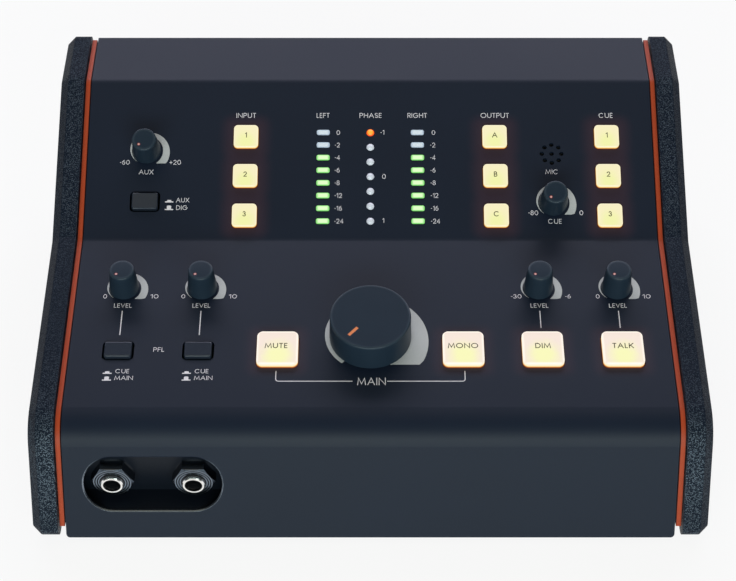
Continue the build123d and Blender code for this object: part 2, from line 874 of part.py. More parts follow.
def make_jack_bracket():
    """Pressed pocket behind the cut-out: an upright plate for the jacks, a floor and two ends."""
    half = recess_length / 2 + recess_margin
    pocket = side_solid(wedge(recess_floor - sheet, recess_back + sheet), half + sheet)
    pocket -= side_solid(wedge(recess_floor, recess_back), half)
    pocket = Pos(-recess_column(), 0, 0) * pocket
    return pocket - [
        bar(front_socket_plane, x, jack_height, -2 * sheet, sheet, jack_bush + seat_gap / 2) for x in front_jacks
    ]


# ------------------------------------------------------------------ sockets
front_socket_plane = Plane(origin=(0, recess_back, foot_height), x_dir=(1, 0, 0), z_dir=(0, -1, 0))
rear_socket_plane = Plane(origin=(0, rear_y - rear_inset, foot_height), x_dir=(-1, 0, 0), z_dir=(0, 1, 0))
front_jacks = [-outer_column - jack_offset, -middle_column - jack_offset]
rear_jacks = [
    (rear_jack_column + number * rear_jack_pitch, height)
    for number in range(rear_jack_columns)
    for height in (rear_upper_row, rear_lower_row)
]
jack_places = [(front_socket_plane, x, jack_height) for x in front_jacks] + [
    (rear_socket_plane, -x, height) for x, height in rear_jacks
]


def make_jack_body(plane, x, row):
    """Plastic body of a 6.35 mm jack, behind its panel."""
    body = block(plane, x, row, -sheet - jack_body_depth, -sheet, jack_body, jack_body, 1.0)
    return body - bar(plane, x, row, -sheet - jack_bore_depth, 0, jack_relief)


def make_jack_bush(plane, x, row):
    """Threaded bush with a bright ring at its mouth."""
    profile = [
        (jack_relief, -sheet),
        (jack_bush, -sheet),
        (jack_bush, jack_reach - jack_ring_length),
        (jack_ring, jack_reach - jack_ring_length),
        (jack_ring, jack_reach - 0.3),
        (jack_ring - 0.3, jack_reach),
        (jack_bore, jack_reach),
        (jack_bore, seat_gap),
        (jack_relief, seat_gap),
    ]
    return turned(plane, x, row, profile)


def make_jack_nut(plane, x, row):
    """Hexagon nut that clamps a jack to its panel."""
    return hexagon_nut(
        plane, x, row, 0, jack_nut_height, jack_nut_flats, jack_bush + screw_fit, jack_nut_chamfer
    )


def make_coax_socket():
    """Coaxial phono socket for the digital input."""
    place = (rear_socket_plane, -signal_column, rear_upper_row)
    socket = block(*place, -sheet - coax_body, -sheet, coax_body, coax_body, 0.8)
    socket += bar(*place, -sheet - 1, coax_reach, coax_radius)
    socket += bar(*place, 0, coax_flange, coax_flange_radius)
    return socket - bar(*place, seat_gap, coax_reach + 1, coax_centre)


def make_mini_socket():
    """3.5 mm stereo socket with its ring nut, for the auxiliary input."""
    place = (rear_socket_plane, -signal_column, rear_lower_row)
    body = block(*place, -sheet - mini_body, -sheet, mini_body, mini_body, 0.6)
    body += bar(*place, -sheet - 1, mini_reach, mini_bush)
    body -= bar(*place, seat_gap, mini_reach + 1, mini_bore)
    body -= bar(*place, -sheet - mini_body + 1, seat_gap, mini_relief)
    nut = bar(*place, 0, mini_nut, mini_nut_radius) - bar(*place, -1, mini_nut + 1, mini_bush + screw_fit)
    return group([body, nut])


def make_power_inlet():
    """Low-voltage inlet: a round socket with a centre pin."""
    place = (rear_socket_plane, -power_column, rear_lower_row)
    inlet = block(*place, -sheet - inlet_body_depth, -sheet, inlet_body, inlet_body, 0.8)
    inlet += bar(*place, -sheet - 1, inlet_proud, inlet_nose)
    bottom = inlet_proud - inlet_pin_sunk - inlet_pin_length
    inlet -= bar(*place, bottom, inlet_proud + 1, inlet_hole)
    return inlet + bar(*place, bottom - 0.5, bottom + inlet_pin_length, inlet_pin)


rocker_body_width = rocker_frame_width - 2 * rocker_frame_edge
rocker_body_height = rocker_frame_height - 2 * rocker_frame_edge


def make_power_switch_frame():
    """Snap-in frame of the power switch, with the well that the rocker turns in."""
    place = (rear_socket_plane, -power_column, rear_upper_row)
    frame = block(*place, 0, rocker_frame_flange, rocker_frame_width, rocker_frame_height, 1.0)
    frame += block(*place, -sheet - rocker_frame_depth, 0, rocker_body_width, rocker_body_height)
    well_width = rocker_width + 2 * rocker_gap
    tilt = math.radians(rocker_tilt)
    reach = rocker_length / 2 * math.cos(tilt) + rocker_top * math.sin(tilt) + rocker_gap
    sunk = rocker_bottom * math.cos(tilt) + rocker_length / 2 * math.sin(tilt) + 2 * rocker_gap
    frame -= block(*place, rocker_pivot - sunk, rocker_frame_flange + 1, well_width, 2 * reach)
    pin_length = rocker_width + 2 * (rocker_pin_reach + rocker_gap / 2)
    pin = Cylinder(rocker_pin + shaft_gap, pin_length, rotation=(0, 90, 0))
    return frame - rear_socket_plane * Pos(-power_column, rear_upper_row, rocker_pivot) * pin


def make_power_rocker():
    """Rocker with two dished halves and its pivot pin, tilted to the on side."""
    half = rocker_length / 2
    foot = half - rocker_taper
    side_view = make_face(
        Polyline((-half, rocker_top), (-foot, -rocker_bottom), (foot, -rocker_bottom), (half, rocker_top))
        + ThreePointArc((half, rocker_top), (0, rocker_top - rocker_dish), (-half, rocker_top))
    )
    key = side_solid(side_view, rocker_width / 2)
    key += Cylinder(rocker_pin, rocker_width + 2 * rocker_pin_reach, rotation=(0, 90, 0))
    place = rear_socket_plane * Pos(-power_column, rear_upper_row, rocker_pivot)
    return place * Rot(rocker_tilt, 0, 0) * key


def make_connector_board():
    """Upright board that the rear sockets are soldered to."""
    front = rear_y - rear_inset - sheet - jack_body_depth
    width = rear_jack_pitch * rear_jack_columns + 2
    middle = rear_jack_column + rear_jack_pitch * (rear_jack_columns - 1) / 2
    return Pos(middle, front - board / 2, base_top + board_margin + connector_board_height / 2) * Box(
        width, board, connector_board_height
    )


# ------------------------------------------------------------------ the nodes
nodes = {
    "top_shell": make_top_shell(),
    "left_side_plate": make_side_plate(-1),
    "right_side_plate": make_side_plate(1),
    "base_tray": make_base_tray(),
    "rear_panel": make_rear_panel(),
    "left_cheek": make_cheek(-1),
    "right_cheek": make_cheek(1),
    "left_trim": make_trim(-1),
    "right_trim": make_trim(1),
    "case_screws": make_case_screws(),
    "cheek_screws": make_cheek_screws(),
    "rubber_feet": make_rubber_feet(),
    "upper_board": make_board(*boards["upper_board"]),
    "lower_board": make_board(*boards["lower_board"]),
    "connector_board": make_connector_board(),
    "board_pillars": make_pillars(),
    "small_pots": group([make_small_pot(*place) for place in small_knobs.values()]),
    "main_pot": make_main_pot(*main_knob_place),
    "main_pot_nut": make_main_pot_nut(*main_knob_place),
    "key_switches": group([make_key_switch(*place) for place in [*small_keys.values(), *large_keys.values()]]),
    "latch_switches": group([make_latch_switch(*place) for place in latches.values()]),
    "peak_lamps": make_bar_lamps(meter_rows[:peak_lamps]),
    "level_lamps": make_bar_lamps(meter_rows[peak_lamps:]),
    "phase_fault_lamp": make_round_lamp(phase_rows[0]),
    "phase_lamps": group([make_round_lamp(row) for row in phase_rows[1:]]),
    "mic_capsule": make_mic_capsule(),
    "mic_boot": make_mic_boot(),
    "jack_bracket": make_jack_bracket(),
    "jack_bodies": group([make_jack_body(*place) for place in jack_places]),
    "jack_bushes": group([make_jack_bush(*place) for place in jack_places]),
    "jack_nuts": group([make_jack_nut(*place) for place in jack_places]),
    "coax_socket": make_coax_socket(),
    "mini_socket": make_mini_socket(),
    "power_inlet": make_power_inlet(),
    "power_switch_frame": make_power_switch_frame(),
    "power_rocker": make_power_rocker(),
    "main_knob": make_main_knob(*main_knob_place),
    "main_shaft": make_main_shaft(*main_knob_place),
}
nodes |= {name: make_small_knob(*place) for name, place in small_knobs.items()}
nodes |= {
    name: make_key(*place, small_key, small_key_corner, small_key_proud)
    for name, place in small_keys.items()
}
nodes |= {
    name: make_key(*place, large_key, large_key_corner, large_key_proud)
    for name, place in large_keys.items()
}
nodes |= {name: make_latch_button(*place) for name, place in latches.items()}

os.makedirs("parts", exist_ok=True)
for name, shape in nodes.items():
    export_step(shape, f"parts/{name}.step")
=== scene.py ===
import json
import math

import bmesh
import bpy
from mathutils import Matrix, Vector


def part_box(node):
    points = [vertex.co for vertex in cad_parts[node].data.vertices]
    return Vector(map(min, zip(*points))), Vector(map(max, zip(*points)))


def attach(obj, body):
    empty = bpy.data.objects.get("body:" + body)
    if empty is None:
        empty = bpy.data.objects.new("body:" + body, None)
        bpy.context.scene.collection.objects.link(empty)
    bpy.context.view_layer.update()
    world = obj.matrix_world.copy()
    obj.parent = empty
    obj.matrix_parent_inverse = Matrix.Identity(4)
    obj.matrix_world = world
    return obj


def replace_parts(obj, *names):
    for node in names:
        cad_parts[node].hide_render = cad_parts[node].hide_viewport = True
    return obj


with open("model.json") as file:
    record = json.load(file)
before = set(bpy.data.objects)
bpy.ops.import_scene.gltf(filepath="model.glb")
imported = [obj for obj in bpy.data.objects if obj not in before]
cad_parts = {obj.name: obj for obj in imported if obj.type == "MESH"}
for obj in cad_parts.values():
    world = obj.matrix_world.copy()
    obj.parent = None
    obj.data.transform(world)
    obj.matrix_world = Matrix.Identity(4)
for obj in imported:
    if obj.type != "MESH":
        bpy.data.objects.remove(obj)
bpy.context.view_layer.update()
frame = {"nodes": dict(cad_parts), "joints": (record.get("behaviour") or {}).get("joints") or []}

# -------- table top, lamps and camera
# The console stands on a pale, seamless table top. One broad soft lamp hangs behind it, a weak warm one
# overhead, and one low in front, so that each slope of the folded sheet takes its own tone.
mm = 0.001
scene = bpy.context.scene
scene.view_settings.view_transform = "Standard"
shell_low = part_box("top_shell")[0]


def new_object(name, data):
    made = bpy.data.objects.new(name, data)
    scene.collection.objects.link(made)
    return made


camera_before = 432.7 * mm  # in front of the shell's foot
camera_above = 562.0 * mm  # above the shell's foot
camera_data = bpy.data.cameras.new("camera")
camera_data.lens = 92.93
camera_data.sensor_width = 36.0
camera_data.shift_x = -0.00163
camera_data.clip_start = 0.05
scene.camera = new_object("camera", camera_data)
scene.camera.location = (-0.45 * mm, shell_low.y - camera_before, shell_low.z + camera_above)
scene.camera.rotation_euler = (math.radians(45), 0, 0)


def tint(code):
    """Linear colour of a six-digit code."""
    parts = [int(code[start:start + 2], 16) / 255 for start in (0, 2, 4)]
    return (*[part / 12.92 if part < 0.04045 else ((part + 0.055) / 1.055) ** 2.4 for part in parts], 1.0)


def math_node(operation):
    """A method of Signal that adds one Math node, fed by the signal and what the method is given."""
    def method(signal, *others):
        values = dict(enumerate((signal, *others)))
        return signal.finish.node("ShaderNodeMath", values, operation=operation)
    return method


class Signal:
    """A shader socket: arithmetic on it adds Math nodes."""

    def __init__(self, finish, socket):
        self.finish = finish
        self.socket = socket

    __add__ = __radd__ = math_node("ADD")
    __sub__ = math_node("SUBTRACT")
    __mul__ = __rmul__ = math_node("MULTIPLY")
    __truediv__ = math_node("DIVIDE")
    __abs__ = math_node("ABSOLUTE")
    root = math_node("SQRT")
    rounded = math_node("ROUND")
    least = math_node("MINIMUM")
    most = math_node("MAXIMUM")
    to_and_fro = math_node("PINGPONG")

    def __rsub__(self, other):
        return self * -1.0 + other

    def step(self, low, high):
        """0 at low and 1 at high, with a smooth change between them; low may be the larger number."""
        inputs = {0: self, 1: low, 2: high, 3: 0.0, 4: 1.0}
        return self.finish.node("ShaderNodeMapRange", inputs, interpolation_type="SMOOTHSTEP")


class Finish:
    """Nodes of a material or a world: node() adds any node, and close() or surface() ends the tree."""

    def __init__(self, name, library=bpy.data.materials, end="ShaderNodeOutputMaterial"):
        self.owner = library.new(name)
        self.owner.use_nodes = True
        self.tree = self.owner.node_tree
        self.tree.nodes.clear()
        self.out = self.tree.nodes.new(end)

    def node(self, kind, inputs=None, output=0, **settings):
        made = self.tree.nodes.new(kind)
        for key, value in settings.items():
            if key == "stops":
                for number, (position, colour) in enumerate(value):
                    ramp = made.color_ramp.elements
                    stop = ramp[number] if number < len(ramp) else ramp.new(position)
                    stop.position = position
                    stop.color = colour
            else:
                setattr(made, key, value)
        for key, value in (inputs or {}).items():
            if isinstance(value, Signal):
                self.tree.links.new(value.socket, made.inputs[key])
            elif isinstance(value, list):
                for one in reversed(value):
                    self.tree.links.new(one.socket, made.inputs[key])
            else:
                made.inputs[key].default_value = value
        return Signal(self, made.outputs[output])

    def place(self):
        return self.node("ShaderNodeTexCoord", output="Object")

    def noise(self, scale, detail=2.0, **more):
        inputs = {"Vector": self.place(), "Scale": scale, "Detail": detail, **more}
        return self.node("ShaderNodeTexNoise", inputs)

    def blend(self, mask, low, high):
        """Colour from low to high with the mask; each is a six-digit code, a colour or a signal."""
        low, high = [tint(colour) if isinstance(colour, str) else colour for colour in (low, high)]
        return self.node("ShaderNodeMix", {0: mask, 6: low, 7: high}, 2, data_type="RGBA")

    def measured(self, operation, vector):
        inputs = {0: self.place(), 1: tuple(vector)}
        return self.node("ShaderNodeVectorMath", inputs, "Value", operation=operation)

    def along(self, axis, origin=(0, 0, 0)):
        """Distance of the surface point from origin, along axis."""
        return self.measured("DOT_PRODUCT", axis) - Vector(origin).dot(axis)

    def bump(self, height, depth, strength=1.0):
        inputs = {"Height": height, "Distance": depth, "Strength": strength}
        return self.node("ShaderNodeBump", inputs)

    def close(self, shader):
        self.tree.links.new(shader.socket, self.out.inputs["Surface"])
        return self.owner

    def surface(self, inputs):
        return self.close(self.node("ShaderNodeBsdfPrincipled", inputs))


def soft_lamp(name, place, aim, size, power, colour=(1, 1, 1)):
    """Rectangular soft lamp at place, turned to aim."""
    data = bpy.data.lights.new(name, "AREA")
    data.shape = "RECTANGLE"
    data.size, data.size_y = size
    data.energy = power
    data.color = colour
    lamp = new_object(name, data)
    lamp.location = place
    lamp.rotation_euler = (Vector(aim) - Vector(place)).to_track_quat("-Z", "Y").to_euler()


soft_lamp("rear_lamp", (0, 1.5, 1.25), (0, 0, 0), (2.6, 0.8), 27.5, (0.83, 0.83, 1.0))
soft_lamp("top_lamp", (0, 0.3, 1.9), (0, 0, 0), (2.6, 0.9), 4.5, (1.0, 0.92, 0.66))
soft_lamp("low_lamp", (0, -1.9, 0.75), (0, 0, 0), (2.4, 0.7), 32.0, (0.87, 1.0, 0.96))

walls = Finish("studio", bpy.data.worlds, "ShaderNodeOutputWorld")
dim_wall = walls.node("ShaderNodeBackground", {"Color": (0.075, 0.075, 0.075, 1)})
white_wall = walls.node("ShaderNodeBackground", {"Color": (0.95, 0.95, 0.95, 1)})
seen = walls.node("ShaderNodeLightPath", output="Is Camera Ray")
scene.world = walls.close(walls.node("ShaderNodeMixShader", {0: seen, 1: dim_wall, 2: white_wall}))

table_reach = 5.0
table_glow = 0.86  # share of plain white in what is seen of the table
table_mesh = bpy.data.meshes.new("table_top")
table_corners = [(x * table_reach, y * table_reach, 0) for x, y in ((-1, -1), (1, -1), (1, 1), (-1, 1))]
table_mesh.from_pydata(table_corners, [], [(0, 1, 2, 3)])
table_top = new_object("table_top", table_mesh)
white_table = Finish("white_table")
rays = ("Is Camera Ray", "Is Glossy Ray", "Is Transmission Ray")
seen = sum(white_table.node("ShaderNodeLightPath", output=ray) for ray in rays)
grain = white_table.noise(40.0)
dull = white_table.node("ShaderNodeBsdfDiffuse", {
    "Color": white_table.blend(grain, (0.78, 0.78, 0.79, 1), (0.81, 0.81, 0.82, 1)),
})
bright = white_table.node("ShaderNodeEmission", {"Color": (1.03, 1.03, 1.03, 1)})
either = white_table.node("ShaderNodeMixShader", {0: seen * table_glow, 1: dull, 2: bright})
table_mesh.materials.append(white_table.close(either))


# -------- folded shell, base and rear panel
# One steel sheet makes the front and the three decks, and stands on two side walls. It is blasted, then
# powder coated in a satin blue-black with a very fine grain, as the base tray and rear panel are.
def dress(material, *names):
    """Give CAD nodes a finish."""
    for name in names:
        slots = frame["nodes"][name].data.materials
        slots.clear()
        slots.append(material)


def powder_coat(name, deep, pale, roughness, bare_edge_highlight=None, light_on=None):
    """Coat with its grain and clouds. The optional edge mask, given the coat, marks unpainted metal along an
    edge, lightened there as a painted highlight, and light_on(coat) is a mask of where lit keys shine on it."""
    coat = Finish(name)
    grain = coat.noise(1 / (0.35 * mm), 3.0)
    cloud = coat.noise(18.0, 2.0)
    colour = coat.blend(grain * 0.6 + cloud * 0.4, deep, pale)
    rough = roughness + (grain - 0.5) * 0.12 + (cloud - 0.5) * 0.05
    inputs = {"Specular IOR Level": 0.2, "Normal": coat.bump(grain, 0.02 * mm, 0.6)}
    if bare_edge_highlight:
        bare_rim_highlight = bare_edge_highlight(coat)
        inputs["Metallic"] = bare_rim_highlight
        colour = coat.blend(bare_rim_highlight, colour, "868f9b")
        rough = rough - bare_rim_highlight * 0.18
    if light_on:
        inputs["Emission Color"] = coat.blend(light_on(coat) * 0.5, "000000", "351817")
        inputs["Emission Strength"] = 1.0
    return coat.surface({"Base Color": colour, "Roughness": rough, **inputs})


bracket_low, bracket_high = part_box("jack_bracket")
front_lean = math.radians(64.3)
front_up = Vector((0, math.cos(front_lean), math.sin(front_lean)))
recess_row = 21.65 * mm
recess_radius = 10.7 * mm
recess_reach = 14.75 * mm  # from the cut-out's middle to the centre of each round end


# The cut-out's chamfer shows as lighter unpainted metal, a painted highlight along all of its rim but the
# top.
def recess_rim_highlight(coat):
    """1 along the chamfer of the cut-out but its top: unpainted metal, made lighter as a painted highlight.
    """
    middle = (bracket_low.x + bracket_high.x) / 2
    foot = Vector((middle, shell_low.y, shell_low.z)) + recess_row * front_up
    across = (abs(coat.along((1, 0, 0), foot)) - recess_reach).most(0.0)
    up = coat.along(front_up, foot)
    gap = (across * across + up * up).root() - recess_radius
    return abs(gap - 0.1 * mm).step(0.42 * mm, 0.3 * mm) * up.step(recess_radius, recess_radius * 0.6)


deep_coat, pale_coat = "151d2b", "1c2638"
dress(powder_coat("wall_coat", deep_coat, pale_coat, 0.46), "left_side_plate", "right_side_plate")
dress(powder_coat("base_coat", deep_coat, "1d2738", 0.55), "base_tray", "rear_panel")
# The jack bracket in the cut-out gets a darker coat than the shell, painted shade of the recess.
dress(powder_coat("pocket_coat_shaded", "0d121a", "141a24", 0.42), "jack_bracket")


# -------- side cheeks
# Thick composite cheeks, milled to the case's outline with a broad chamfer outside, and sprayed with a hard,
# coarse-grained structure paint. Its pale flecks are painted glints, strongest on the flat face near the
# front bend and weaker on the chamfer, higher up and low down.
cheek = Finish("structure_paint")
crumb_size = 0.35 * mm
crumb = cheek.noise(1 / crumb_size, 3.0, Roughness=0.65)
drops = {"Vector": cheek.place(), "Scale": 1 / crumb_size}
middle_of_drop = cheek.node("ShaderNodeTexVoronoi", drops)
shade_of_drop = cheek.node("ShaderNodeTexVoronoi", drops, output="Color")
shade_of_drop = cheek.node("ShaderNodeSeparateColor", {0: shade_of_drop})
cheek_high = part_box("right_cheek")[1]
bevel = 3.5 * mm  # width of the chamfer outside
flat_edge = cheek_high.x - bevel
bend_height = 50 * mm  # where the front edge bends; light falls on the cheek below and above it
flat = abs(cheek.along((1, 0, 0))).step(flat_edge + 0.5 * mm, flat_edge - 0.5 * mm)
height = cheek.along((0, 0, 1))
by_bend = height.step(bend_height, 38 * mm) * (1 - height.step(30 * mm, 4 * mm) * 0.5)
by_top = height.step(bend_height, 62 * mm)
# Painted glints: the pale flecks show most where light catches the grain, on the flat face by the bend.
glint_light = (flat * 0.6 + 0.4) * (by_bend * 0.76 + by_top * 0.16 + 0.2)
fleck = shade_of_drop.step(0.25, 0.75) * middle_of_drop.step(0.68, 0.25)
ground = cheek.blend(crumb.step(0.3, 0.7), "0d1522", "1a2433")
dress(cheek.surface({
    "Base Color": cheek.blend(fleck * glint_light, ground, "8b99a8"),
    "Roughness": 0.36 + crumb * 0.12 - fleck * 0.14,
    "Specular IOR Level": 0.07,
    "Normal": cheek.bump(crumb * 0.7 + fleck * 0.6, 0.26 * mm, 1.0),
}), "left_cheek", "right_cheek")


# -------- trim plates
# Thin aluminium plates, painted orange-red, stand between the shell's walls and the cheeks. Both edges of
# each plate are darkened, painted shade of the narrow gaps beside it.
trim_low, trim_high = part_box("right_trim")
trim = Finish("orange_paint")
fleck = trim.noise(1 / (0.5 * mm), 2.0)
trim_width = trim_high.x - trim_low.x
from_middle = abs(abs(trim.along((1, 0, 0))) - (trim_low.x + trim_high.x) / 2)
# Painted shade along both edges of each plate, for the gaps beside it.
edge_gap_shade = from_middle.step(trim_width * 0.32, trim_width * 0.49)
paint = trim.blend(fleck * 0.5 + trim.noise(25.0) * 0.5, "ae4021", "c9532e")
dress(trim.surface({
    "Base Color": trim.blend(edge_gap_shade * 0.85, paint, "3a120c"),
    "Roughness": 0.42 + fleck * 0.1,
    "Specular IOR Level": 0.22,
    "Normal": trim.bump(fleck, 0.01 * mm, 0.5),
}), "left_trim", "right_trim")


# -------- the decks' own directions
# Each deck is a flat run of the folded sheet. What stands or is printed on it is set out across it and up
# it from its front corner, as on a panel drawing.
class Deck:
    """Panel with its own directions: x across, row up the panel, rise off it."""

    def __init__(self, origin, across, up):
        self.origin = Vector(origin)
        self.across = Vector(across)
        self.up = Vector(up)
        self.normal = self.across.cross(self.up)

    def point(self, x, row, rise=0.0):
        return self.origin + x * self.across + row * self.up + rise * self.normal

    def top_of(self, node):
        """How far a CAD node stands off the panel."""
        vertices = frame["nodes"][node].data.vertices
        return max((vertex.co - self.origin).dot(self.normal) for vertex in vertices)


def deck_under(joint_name, row):
    """The deck that a knob at that row turns on."""
    joint = next(joint for joint in frame["joints"] if joint["name"] == joint_name)
    normal = Vector(joint["axis"])
    across = Vector((1, 0, 0))
    up = normal.cross(across)
    foot = Vector(joint["pos_m"]) - row * up
    return Deck((0, foot.y, foot.z), across, up)


main_knob_row = 41.0 * mm
aux_knob_row = 38.0 * mm
lower_deck = deck_under("main_level_turn", main_knob_row)
upper_deck = deck_under("aux_level_turn", aux_knob_row)

inner_column = 34.7 * mm
middle_column = 64.4 * mm
outer_column = 94.3 * mm
aux_column = 89.0 * mm
cue_column = 72.2 * mm
cue_knob_row = 15.7 * mm
lower_knob_row = 64.2 * mm
lower_key_row = 34.2 * mm
select_key_column = 49.6 * mm
select_key_row = 43.8 * mm
select_key_pitch = 16.9 * mm

# -------- lit keys
# Caps of clear-white plastic over amber lamps. The top glows cream with a greenish middle, the rim is
# nearly white, and the light in the walls goes from yellow through orange to dark red in the gap. The
# shell's coat is made here, because the caps throw a warm haze on it.
small_key = 9.7 * mm
large_key = 15.4 * mm
key_gap_foot = 0.6 * mm  # how far down the gap the light is followed
small_keys = {
    f"{name}_key_{number + 1}": (x, select_key_row - number * select_key_pitch)
    for name, x in (("input", -select_key_column), ("output", select_key_column), ("cue", outer_column))
    for number in range(3)
}
large_keys = {
    "mute_key": (-inner_column, lower_key_row),
    "mono_key": (inner_column, lower_key_row),
    "dim_key": (middle_column, lower_key_row),
    "talk_key": (outer_column, lower_key_row),
}


def glowing_cap(name, deck, x, row, size, edge, middle, rim, wall):
    """Light in a cap: middle to edge over its top, then the rim, and the wall colours down its sides."""
    cap = Finish(f"glow_{name}")
    proud = deck.top_of(name)
    foot = deck.point(x, row)
    across = cap.along(deck.across, foot) / (size / 2)
    up = cap.along(deck.up, foot) / (size / 2)
    rise = cap.along(deck.normal, foot)
    low_spot = up + 0.5
    far = (across * across * 0.9 + low_spot * low_spot * 0.7).root()
    cloud = cap.noise(1 / (3 * mm), 2.0)
    top = cap.blend((far + (cloud - 0.5) * 0.3).step(0.2, 1.05), middle, edge)
    border = abs(across).most(abs(up))
    top = cap.blend(border.step(0.86, 0.97), top, rim)
    levels = (
        (-0.6, "3c1606"), (-0.1, "9c3d0e"), (0.12, "d8761e"), (0.4, "f8cc6c"), (0.9, wall), (proud / mm, rim),
    )
    side = cap.node("ShaderNodeValToRGB", {0: (rise + key_gap_foot) / (proud + key_gap_foot)}, stops=[
        ((level * mm + key_gap_foot) / (proud + key_gap_foot), tint(code)) for level, code in levels
    ])
    return cap.surface({
        "Base Color": (0.08, 0.07, 0.05, 1),
        "Roughness": 0.38 + cloud * 0.08,
        "Emission Color": cap.blend(rise.step(proud - 0.36 * mm, proud - 0.12 * mm), side, top),
        "Emission Strength": 0.97,
    })


for name, (x, row) in small_keys.items():
    dress(glowing_cap(name, upper_deck, x, row, small_key, "f4ebbf", "eef0a8", "fbf1cf", "ffe998"), name)
for name, (x, row) in large_keys.items():
    dress(glowing_cap(name, lower_deck, x, row, large_key, "f0dfd3", "f2f2b2", "fff6ea", "fff0cc"), name)


def key_haze(coat):
    """Warm light that the lit walls of the caps throw on the deck round them."""
    haze = 0.0
    for keys, deck, size, reach, level in (
        (small_keys, upper_deck, small_key, 7.0 * mm, 1.0),
        (large_keys, lower_deck, large_key, 6.0 * mm, 0.7),
    ):
        across = coat.along(deck.across, deck.origin)
        up = coat.along(deck.up, deck.origin)
        for x, row in keys.values():
            beside = (abs(across - x) - size / 2).most(0.0)
            beyond = (abs(up - row) - size / 2).most(0.0)
            gap = (beside * beside + beyond * beyond).root()
            haze = gap.step(reach, 0.0) * level + haze
    return haze


dress(powder_coat("shell_coat", deep_coat, pale_coat, 0.46, recess_rim_highlight, key_haze), "top_shell")

# -------- printed words and numbers
# The decks are silk-screened in pale grey with a thin, even, geometric letter: words of one stroke
# width, drawn from straight lines and parts of ellipses. Key tops carry the same letter in dark olive.
letter_weight = 0.105  # stroke width, in heights of the letter
letter_space = 0.17  # gap between letters, in heights
ink_top = 0.03 * mm
ink_foot = -0.01 * mm


def bow(x, y, wide, high, start, end):
    """Points of part of an ellipse, with angles in degrees."""
    steps = max(2, round(abs(end - start) / 18))
    angles = [math.radians(start + (end - start) * step / steps) for step in range(steps + 1)]
    return [(x + wide * math.cos(angle), y + high * math.sin(angle)) for angle in angles]


# Each letter's width in heights, and its strokes in a unit box. R is P with a leg.
letters = {
    " ": (0.4, []),
    "A": (0.95, [[(0, 0), (0.5, 1), (1, 0)], [(0.2, 0.36), (0.8, 0.36)]]),
    "B": (0.62, [[(0, 0), (0, 1), (0.5, 1), *bow(0.5, 0.76, 0.4, 0.24, 90, -90), (0, 0.52)],
                 [(0, 0.52), (0.55, 0.52), *bow(0.55, 0.26, 0.45, 0.26, 90, -90), (0, 0)]]),
    "C": (1.0, [bow(0.5, 0.5, 0.5, 0.5, 48, 312)]),
    "D": (0.85, [[(0, 0), (0, 1), (0.35, 1), *bow(0.35, 0.5, 0.65, 0.5, 90, -90), (0, 0)]]),
    "E": (0.52, [[(1, 1), (0, 1), (0, 0), (1, 0)], [(0, 0.52), (0.9, 0.52)]]),
    "F": (0.55, [[(1, 1), (0, 1), (0, 0)], [(0, 0.52), (0.9, 0.52)]]),
    "G": (1.05, [[*bow(0.5, 0.5, 0.5, 0.5, 48, 360), (0.55, 0.5)]]),
    "H": (0.8, [[(0, 0), (0, 1)], [(1, 0), (1, 1)], [(0, 0.52), (1, 0.52)]]),
    "I": (0.12, [[(0.5, 0), (0.5, 1)]]),
    "K": (0.75, [[(0, 0), (0, 1)], [(0.95, 1), (0, 0.4)], [(0.3, 0.6), (1, 0)]]),
    "L": (0.48, [[(0, 1), (0, 0), (1, 0)]]),
    "M": (1.1, [[(0, 0), (0.12, 1), (0.5, 0.12), (0.88, 1), (1, 0)]]),
    "N": (0.9, [[(0, 0), (0, 1), (1, 0), (1, 1)]]),
    "O": (1.1, [bow(0.5, 0.5, 0.5, 0.5, 0, 360)]),
    "P": (0.65, [[(0, 0), (0, 1), (0.55, 1), *bow(0.55, 0.73, 0.45, 0.27, 90, -90), (0, 0.46)]]),
    "S": (0.6, [[*bow(0.5, 0.75, 0.45, 0.25, 25, 270), *bow(0.5, 0.25, 0.5, 0.25, 90, -155)]]),
    "T": (0.6, [[(0, 1), (1, 1)], [(0.5, 1), (0.5, 0)]]),
    "U": (0.8, [[(0, 1), *bow(0.5, 0.36, 0.5, 0.36, 180, 360), (1, 1)]]),
    "V": (0.8, [[(0, 1), (0.5, 0), (1, 1)]]),
    "X": (0.8, [[(0, 0), (1, 1)], [(0, 1), (1, 0)]]),
    "/": (0.4, [[(0, 0), (1, 1)]]),
    "-": (0.24, [[(0, 0.46), (1, 0.46)]]),
    "+": (0.6, [[(0, 0.46), (1, 0.46)], [(0.5, 0.14), (0.5, 0.78)]]),
    "0": (0.72, [bow(0.5, 0.5, 0.5, 0.5, 0, 360)]),
    "1": (0.34, [[(0, 0.82), (1, 1), (1, 0)]]),
    "2": (0.62, [[*bow(0.5, 0.7, 0.5, 0.3, 165, -30), (0, 0), (1, 0)]]),
    "3": (0.6, [[*bow(0.48, 0.75, 0.42, 0.25, 160, -80), *bow(0.48, 0.27, 0.5, 0.27, 80, -160)]]),
    "4": (0.66, [[(0.74, 0), (0.74, 1), (0, 0.28), (1, 0.28)]]),
    "6": (0.62, [bow(0.5, 0.31, 0.5, 0.31, 0, 360), [(0.72, 1), *bow(0.6, 0.31, 0.6, 0.62, 130, 180)]]),
    "8": (0.62, [bow(0.5, 0.76, 0.42, 0.24, 0, 360), bow(0.5, 0.26, 0.5, 0.26, 0, 360)]),
}
letters["R"] = (0.65, [*letters["P"][1], [(0.45, 0.46), (1, 0)]])


def mesh_of(name, shape, material):
    """Turn a bmesh into a mesh with its material."""
    mesh = bpy.data.meshes.new(name)
    shape.to_mesh(mesh)
    shape.free()
    mesh.materials.append(material)
    return mesh


def add_piece(name, mesh, body):
    """Make a finished mesh a piece that moves with a body."""
    made = new_object(name, mesh)
    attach(made, body)
    return made


